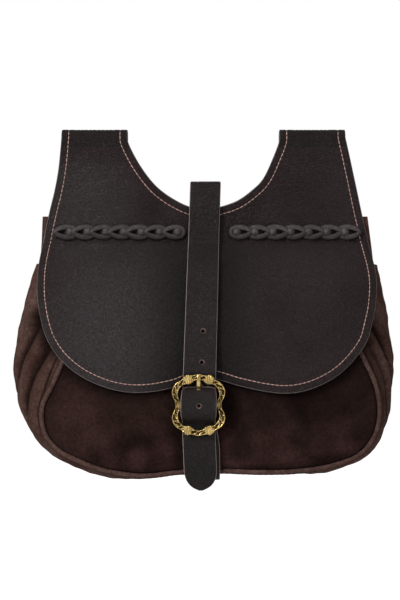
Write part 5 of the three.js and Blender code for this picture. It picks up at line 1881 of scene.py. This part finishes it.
@dataclass
class Buckle:
    """The cast frame with its centre bar, and the prong."""

    straps: Straps
    finishes: Finishes
    fine: int = 9

    def outline_ring(self) -> tuple[Array, Array, Array]:
        """The frame's outer and inner edges and its face's swell, round the whole frame."""
        s = self.straps
        out = np.array([(r["out_x"] * s.buckle_width / 2, r["out_z"] * s.frame_half) for r in BUCKLE_QUARTER])
        inner = np.array([(r["in_x"] * s.buckle_width / 2, r["in_z"] * s.frame_half) for r in BUCKLE_QUARTER])
        proud = np.array([r["proud"] for r in BUCKLE_QUARTER])
        signs = ((1, 1, 1), (1, -1, -1), (-1, -1, 1), (-1, 1, -1))
        parts = []
        for sx, sz, order in signs:
            block = np.column_stack([out * (sx, sz), inner * (sx, sz), proud])[::order]
            parts.append(block)
        ring = np.vstack([parts[0], parts[1], parts[2][1:], parts[3][:-1]])
        closed = np.vstack([ring[-2:], ring, ring[:3]])
        t = np.linspace(0, 1, self.fine + 1)[:-1, None]
        runs = []
        for i in range(2, len(closed) - 3):
            a, b, c, d = closed[i - 1 : i + 3]
            runs.append(0.5 * (2 * b + (c - a) * t + (2 * a - 5 * b + 4 * c - d) * t**2 + (3 * b - a - 3 * c + d) * t**3))
        smooth = np.vstack(runs)
        return smooth[:, 0:2], smooth[:, 2:4], np.clip(smooth[:, 4], 0, None)

    def build_frame(self) -> None:
        """The frame, with a rim, a leafy field and fluted shoulders."""
        s = self.straps
        outer, inner, proud = self.outline_ring()
        half = s.buckle_thickness / 2
        count = len(outer)
        steps = np.linalg.norm(np.roll(outer, -1, axis=0) - outer, axis=1)
        way = np.concatenate([[0], np.cumsum(steps)[:-1]])
        shares = np.concatenate([[0, 0, 0.03], np.linspace(0.08, 0.92, 15), [0.97, 1, 1]])
        profile = np.concatenate([[0.0, 0.35, 0.62], np.full(15, 1.0), [0.62, 0.35, 0.0]])
        u = np.linspace(0.08, 0.92, 15)
        rim = np.exp(-(((u - 0.9) / 0.09) ** 2)) + 0.8 * np.exp(-(((u - 0.1) / 0.09) ** 2))
        block = np.clip(proud / 0.2, 0, 1)
        curl = way[:, None] * 2 * math.pi / 5.4 + 1.9 * np.sin(2 * math.pi * u)[None] + 0.9 * np.sin(way[:, None] * 0.83)
        leaf = np.sin(curl) * np.sin(math.pi * u)[None]
        bud = np.sin(2 * curl + 1.3) * np.sin(2 * math.pi * u)[None]
        flute = np.cos(way[:, None] * 2 * math.pi / 2.1 + 1.5 * u[None])
        plain = 0.62 * rim[None] + 0.36 * leaf + 0.26 * bud - 0.33
        relief = mix(plain, 0.3 * flute + 0.25 * np.sin(math.pi * u)[None], block[:, None])
        height = np.tile(profile * half, (count, 1))
        height[:, 3:18] = half * (0.84 + proud[:, None] * 1.5) + relief * 0.75
        # darker in the relief's hollows, partly patina and partly painted shade
        recess = np.zeros_like(height)
        recess[:, 3:18] = np.clip(0.5 - relief * 2.0, 0, 1) * (1 - 0.25 * block[:, None])
        centre_x = float(s.form.strap_centre(s.buckle_z))
        at = inner[:, None] + (outer - inner)[:, None] * shares[None, :, None]
        front = np.stack([centre_x + at[..., 0], s.frame_y - height, s.buckle_z + at[..., 1]], axis=-1)
        back_shares = np.array([1.0, 0.75, 0.25, 0.0])
        back_at = inner[:, None] + (outer - inner)[:, None] * back_shares[None, :, None]
        back_y = np.array([0.62, 1, 1, 0.62]) * half
        back = np.stack([centre_x + back_at[..., 0], s.frame_y + np.tile(back_y, (count, 1)), s.buckle_z + back_at[..., 1]], axis=-1)
        section = np.concatenate([front, back], axis=1)
        faces = grid_faces(count, section.shape[1], wrap_rows=True, wrap_columns=True)
        # the frame's back is darkened a little, partly patina and partly painted shade
        marks = {"recess": np.concatenate([recess, np.full((count, 4), 0.3)], axis=1).ravel()}
        frame = make_object("buckle_casting", section.reshape(-1, 3), faces, marks)
        dress(frame, self.finishes.brass, "brass", "buckle_frame")
        self.build_bar(centre_x)

    def build_bar(self, centre_x: float) -> None:
        """The centre bar, which flares into the frame's sides."""
        s = self.straps
        x = np.linspace(-1, 1, 41)
        reach = s.buckle_width * 0.4
        flare = ease(np.abs(x), 0.72, 1.0)
        high = s.bar_radius * (1 + 1.5 * flare)
        deep = s.bar_radius * (1 - 0.15 * flare)
        turn = np.linspace(0, 2 * math.pi, 17)[:-1]
        ring = np.stack(
            [
                np.repeat((centre_x + x * reach)[:, None], 16, axis=1),
                s.frame_y + deep[:, None] * np.cos(turn)[None],
                s.buckle_z + high[:, None] * np.sin(turn)[None],
            ],
            axis=-1,
        )
        faces = grid_faces(len(x), 16, wrap_columns=True)
        faces.append(tuple(range(16)))
        faces.append(tuple(range((len(x) - 1) * 16, len(x) * 16))[::-1])
        # the bar is darkened a little all over, partly patina and partly painted shade
        marks = {"recess": np.full(len(x) * 16, 0.45)}
        dress(make_object("buckle_bar", ring.reshape(-1, 3), faces, marks), self.finishes.brass, "brass")

    def build_prong(self) -> None:
        """The prong, curled round the bar and flattened where it rests."""
        s = self.straps
        round_bar = s.bar_radius + s.form.touch + s.prong_thickness / 2
        rest_y = s.frame_y - s.buckle_thickness / 2 - s.form.touch - s.prong_thickness / 2
        turns = np.linspace(-0.62, 0.5, 12) * math.pi
        points = [(s.frame_y + round_bar * math.cos(t), s.buckle_z + round_bar * math.sin(t)) for t in turns]
        points.append((s.frame_y, s.buckle_z + s.frame_half * 0.52))
        points.append((float(mix(s.frame_y, rest_y, 0.6)), s.buckle_z + s.frame_half * s.prong_rise))
        points.append((rest_y, s.buckle_z + s.frame_half * 0.76))
        points.append((rest_y, s.buckle_z + s.frame_half * 0.98))
        path = smooth_curve(points, 0.6)
        tangent = np.gradient(path, axis=0)
        tangent /= np.linalg.norm(tangent, axis=1, keepdims=True)
        share = np.linspace(0, 1, len(path))
        half_x = s.prong_width / 2 * mix(1, 0.86, ease(share, 0.5, 1)) * np.where(share > 0.97, 0.72, 1)
        half_n = s.prong_thickness / 2 * mix(1, 0.9, ease(share, 0.6, 1)) * np.where(share > 0.97, 0.7, 1)
        turn = np.linspace(0, 2 * math.pi, 17)[:-1]
        cx, cn = np.sign(np.cos(turn)) * np.abs(np.cos(turn)) ** 0.6, np.sign(np.sin(turn)) * np.abs(np.sin(turn)) ** 0.6
        n = half_n[:, None] * cn[None]
        ring = np.stack(
            [
                float(s.form.strap_centre(s.buckle_z)) + half_x[:, None] * cx[None],
                path[:, 0, None] - tangent[:, 1, None] * n,
                path[:, 1, None] + tangent[:, 0, None] * n,
            ],
            axis=-1,
        )
        faces = grid_faces(len(path), 16, wrap_columns=True)
        faces.append(tuple(range(16)))
        faces.append(tuple(range((len(path) - 1) * 16, len(path) * 16))[::-1])
        marks = {"recess": np.full(len(path) * 16, 0.1)}
        dress(make_object("buckle_tongue", ring.reshape(-1, 3), faces, marks), self.finishes.brass, "brass", "buckle_prong")

    def build(self) -> None:
        """Every casting of the buckle."""
        self.build_frame()
        self.build_prong()


@dataclass
class Braids:
    """The laced braids across the flap."""

    form: BagForm
    finishes: Finishes
    links: int = 7
    pitch: float = 14.3
    width: float = 12.6
    lace_width: float = 4.5
    lace_thickness: float = 2.2

    def link_mesh(self) -> bpy.types.Object:
        """One link that points along +X: a slit almond of lace with the last link's tongue in it, over a dark plate
        that paints the shadow in its hole.
        """
        turn = np.linspace(0, 2 * math.pi, 33)[:-1]
        share = 0.5 - 0.5 * np.cos(turn)
        reach = (self.width - self.lace_width) / 2
        x = self.pitch * (1.2 * share - 0.1)
        y = reach * np.sign(np.sin(turn)) * np.abs(np.sin(turn)) ** mix(0.8, 1.35, share) * (1 + 0.24 * np.cos(turn))
        lift = self.lace_thickness * (0.45 + 0.75 * share**1.5)
        flat = np.linspace(0, 2 * math.pi, 13)[:-1]
        aside = np.sign(np.cos(flat)) * np.abs(np.cos(flat)) ** 0.75 * self.lace_width / 2
        up = np.sign(np.sin(flat)) * np.abs(np.sin(flat)) ** 0.75 * self.lace_thickness / 2
        out = np.stack([-np.cos(turn), np.sin(turn)], axis=-1)
        ring = np.stack(
            [
                x[:, None] + out[:, :1] * aside[None] * 0.75,
                y[:, None] + out[:, 1:] * aside[None],
                lift[:, None] + up[None] - 0.26 * aside[None],
            ],
            axis=-1,
        )
        faces = grid_faces(len(turn), len(flat), wrap_rows=True, wrap_columns=True)
        t = np.linspace(0, 1, 17)
        crown = np.sin(math.pi * np.clip(t * 1.02, 0, 1)) ** 0.55
        run = self.pitch * (0.0 + 0.54 * t)
        half = 3.0 * (0.55 + 0.45 * crown)
        tongue = np.stack(
            [
                np.repeat(run[:, None], 12, axis=1),
                np.cos(flat)[None] * half[:, None],
                0.4 + (np.sin(flat)[None] * 0.5 + 0.5) * (self.lace_thickness * 1.75 * crown)[:, None],
            ],
            axis=-1,
        )
        more = grid_faces(17, 12, wrap_columns=True)
        more += [tuple(range(12)), tuple(range(16 * 12, 17 * 12))[::-1]]
        base = len(turn) * len(flat)
        # a dark plate under the link, which paints the shadow in its hole
        hole_shadow_plate = np.array([(self.pitch * px, py, 0.35) for px, py in ((0.4, -2.6), (0.8, -0.4), (0.8, 0.4), (0.4, 2.6))])
        hole_shadow_plate = np.vstack([hole_shadow_plate, hole_shadow_plate - (0, 0, 0.2)])
        last = base + 17 * 12
        box = [(0, 1, 2, 3), (7, 6, 5, 4), (0, 4, 5, 1), (1, 5, 6, 2), (2, 6, 7, 3), (3, 7, 4, 0)]
        faces = faces + [tuple(base + i for i in f) for f in more] + [tuple(last + i for i in f) for f in box]
        points = np.vstack([ring.reshape(-1, 3), tongue.reshape(-1, 3), hole_shadow_plate])
        # painted shade: darker low down, dark outlines down the arms' sides, the tongue darker low down, and the plate
        # near-black
        rim = np.tile(ease(np.abs(np.cos(flat)), 0.5, 0.92), len(turn))
        shade = np.clip(1.3 - points[:, 2] / 2.0, 0.36, 1)
        shade[: len(rim)] = np.maximum(shade[: len(rim)], 0.92 * rim)
        shade[base:last] = np.clip(0.7 - points[base:last, 2] / 2.2, 0, 1)
        shade[last:] = 1.0
        return make_object("link shape", points, faces, {"shade": shade})

    def build(self) -> None:
        """Both braids, as one row of links each."""
        tree = along_path_tree("link row", True)
        shape = self.link_mesh()
        for name, node, start, stop in (
            ("braid_links_left", "braid_left", BRAID_ENDS[0], BRAID_ENDS[1]),
            ("braid_links_right", "braid_right", BRAID_ENDS[2], BRAID_ENDS[3]),
        ):
            side = 1 if stop > start else -1
            x = np.linspace(start + side * self.pitch * 0.08, stop - side * self.pitch * 0.98, 60)
            z = np.full(60, self.form.lacing_z)
            low = beside(self.form.flap_middle, x, z, self.form.flap_leather / 2 + 0.1)
            high = beside(self.form.flap_middle, x, z, self.form.flap_leather / 2 + 1.1)
            length = abs(x[-1] - x[0])
            values = {"Pitch": length / (self.links - 1) * MM * 0.9999, "Unevenness": 0.06, "Seed": 8, "Finish": self.finishes.lace, "Shape": shape}
            dress(run_tree(name, [(low, high - low)], tree, values), self.finishes.lace, "lace_leather", node)
        bpy.data.objects.remove(shape)


@dataclass
class Studio:
    """Camera, soft lights and a plain pale floor."""

    camera_place: tuple[float, float, float] = (-0.0027, -1.365, -0.1321)
    lens: float = 103.5
    floor_z: float = -0.62
    floor_reach: float = 6.0
    surround: float = 0.14

    def build(self) -> None:
        """Sets up the whole studio."""
        self.build_camera()
        self.build_floor()
        self.build_lights()

    def build_camera(self) -> None:
        """The camera at the photograph's place."""
        data = bpy.data.cameras.new("camera")
        data.lens = self.lens
        data.sensor_width = 36
        data.clip_start = 0.05
        camera = bpy.data.objects.new("camera", data)
        camera.location = self.camera_place
        camera.rotation_euler = (math.pi / 2, 0, 0)
        bpy.context.collection.objects.link(camera)
        bpy.context.scene.camera = camera

    def build_floor(self) -> None:
        """A plain pale floor."""
        reach = self.floor_reach
        points = np.array([(x, y, self.floor_z) for y in (-reach, reach) for x in (-reach, reach)]) / MM
        obj = make_object("floor", points, grid_faces(2, 2), recalculate=False)
        material = bpy.data.materials.new("floor")
        material.use_nodes = True
        material.node_tree.nodes.clear()
        bench = NodeBench(material.node_tree)
        matt = bench.add("ShaderNodeBsdfDiffuse", {"Color": (0.85, 0.85, 0.85, 1)})
        seen = bench.add("ShaderNodeLightPath").outputs["Is Camera Ray"]
        glow = bench.add("ShaderNodeEmission", {"Color": (1, 1, 1, 1), "Strength": bench.math("MULTIPLY", seen, 1.0)})
        both = bench.add("ShaderNodeAddShader", {0: matt.outputs[0], 1: glow.outputs[0]})
        bench.add("ShaderNodeOutputMaterial", {"Surface": both.outputs[0]})
        obj.data.materials.append(material)

    def build_lights(self) -> None:
        """Soft boxes and a dim surround."""
        boxes = (
            ("key", (-0.95, -1.05, 0.6), 0.6, 15.5),
            ("fill", (1.4, -1.3, 0.25), 1.0, 4.6),
            ("top", (0.0, -0.6, 1.2), 0.8, 6.0),
            ("low", (-0.6, -1.7, -0.6), 0.9, 1.3),
            ("back", (0.5, 1.5, 0.5), 1.0, 9.0),
        )
        for name, place, size, power in boxes:
            data = bpy.data.lights.new(name, "AREA")
            data.shape = "SQUARE"
            data.size = size
            data.energy = power
            lamp = bpy.data.objects.new(name, data)
            lamp.location = place
            aim = Vector((0, -0.03, -0.14)) - Vector(place)
            lamp.rotation_euler = aim.to_track_quat("-Z", "Y").to_euler()
            bpy.context.collection.objects.link(lamp)
        world = bpy.data.worlds.new("surround")
        world.use_nodes = True
        world.node_tree.nodes["Background"].inputs["Color"].default_value = (1, 1, 1, 1)
        bench = NodeBench(world.node_tree)
        seen = bench.add("ShaderNodeLightPath").outputs["Is Camera Ray"]
        strength = bench.math("ADD", self.surround, bench.math("MULTIPLY", seen, 1 - self.surround))
        world.node_tree.links.new(strength, world.node_tree.nodes["Background"].inputs["Strength"])
        bpy.context.scene.world = world
        bpy.context.scene.view_settings.view_transform = "Standard"


def main() -> None:
    """Loads the frame and builds every piece in order."""
    logging.basicConfig(level=logging.INFO, format="%(message)s")
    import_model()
    Studio().build()
    finishes = Finishes.mix_up()
    sewing = Sewing(finishes)
    Flap(FORM, finishes, sewing).build()
    Pouch(FORM, finishes, sewing).build()
    Braids(FORM, finishes).build()
    straps = Straps(FORM, finishes, sewing)
    straps.build()
    Buckle(straps, finishes).build()


if __name__ == "__main__":
    main()
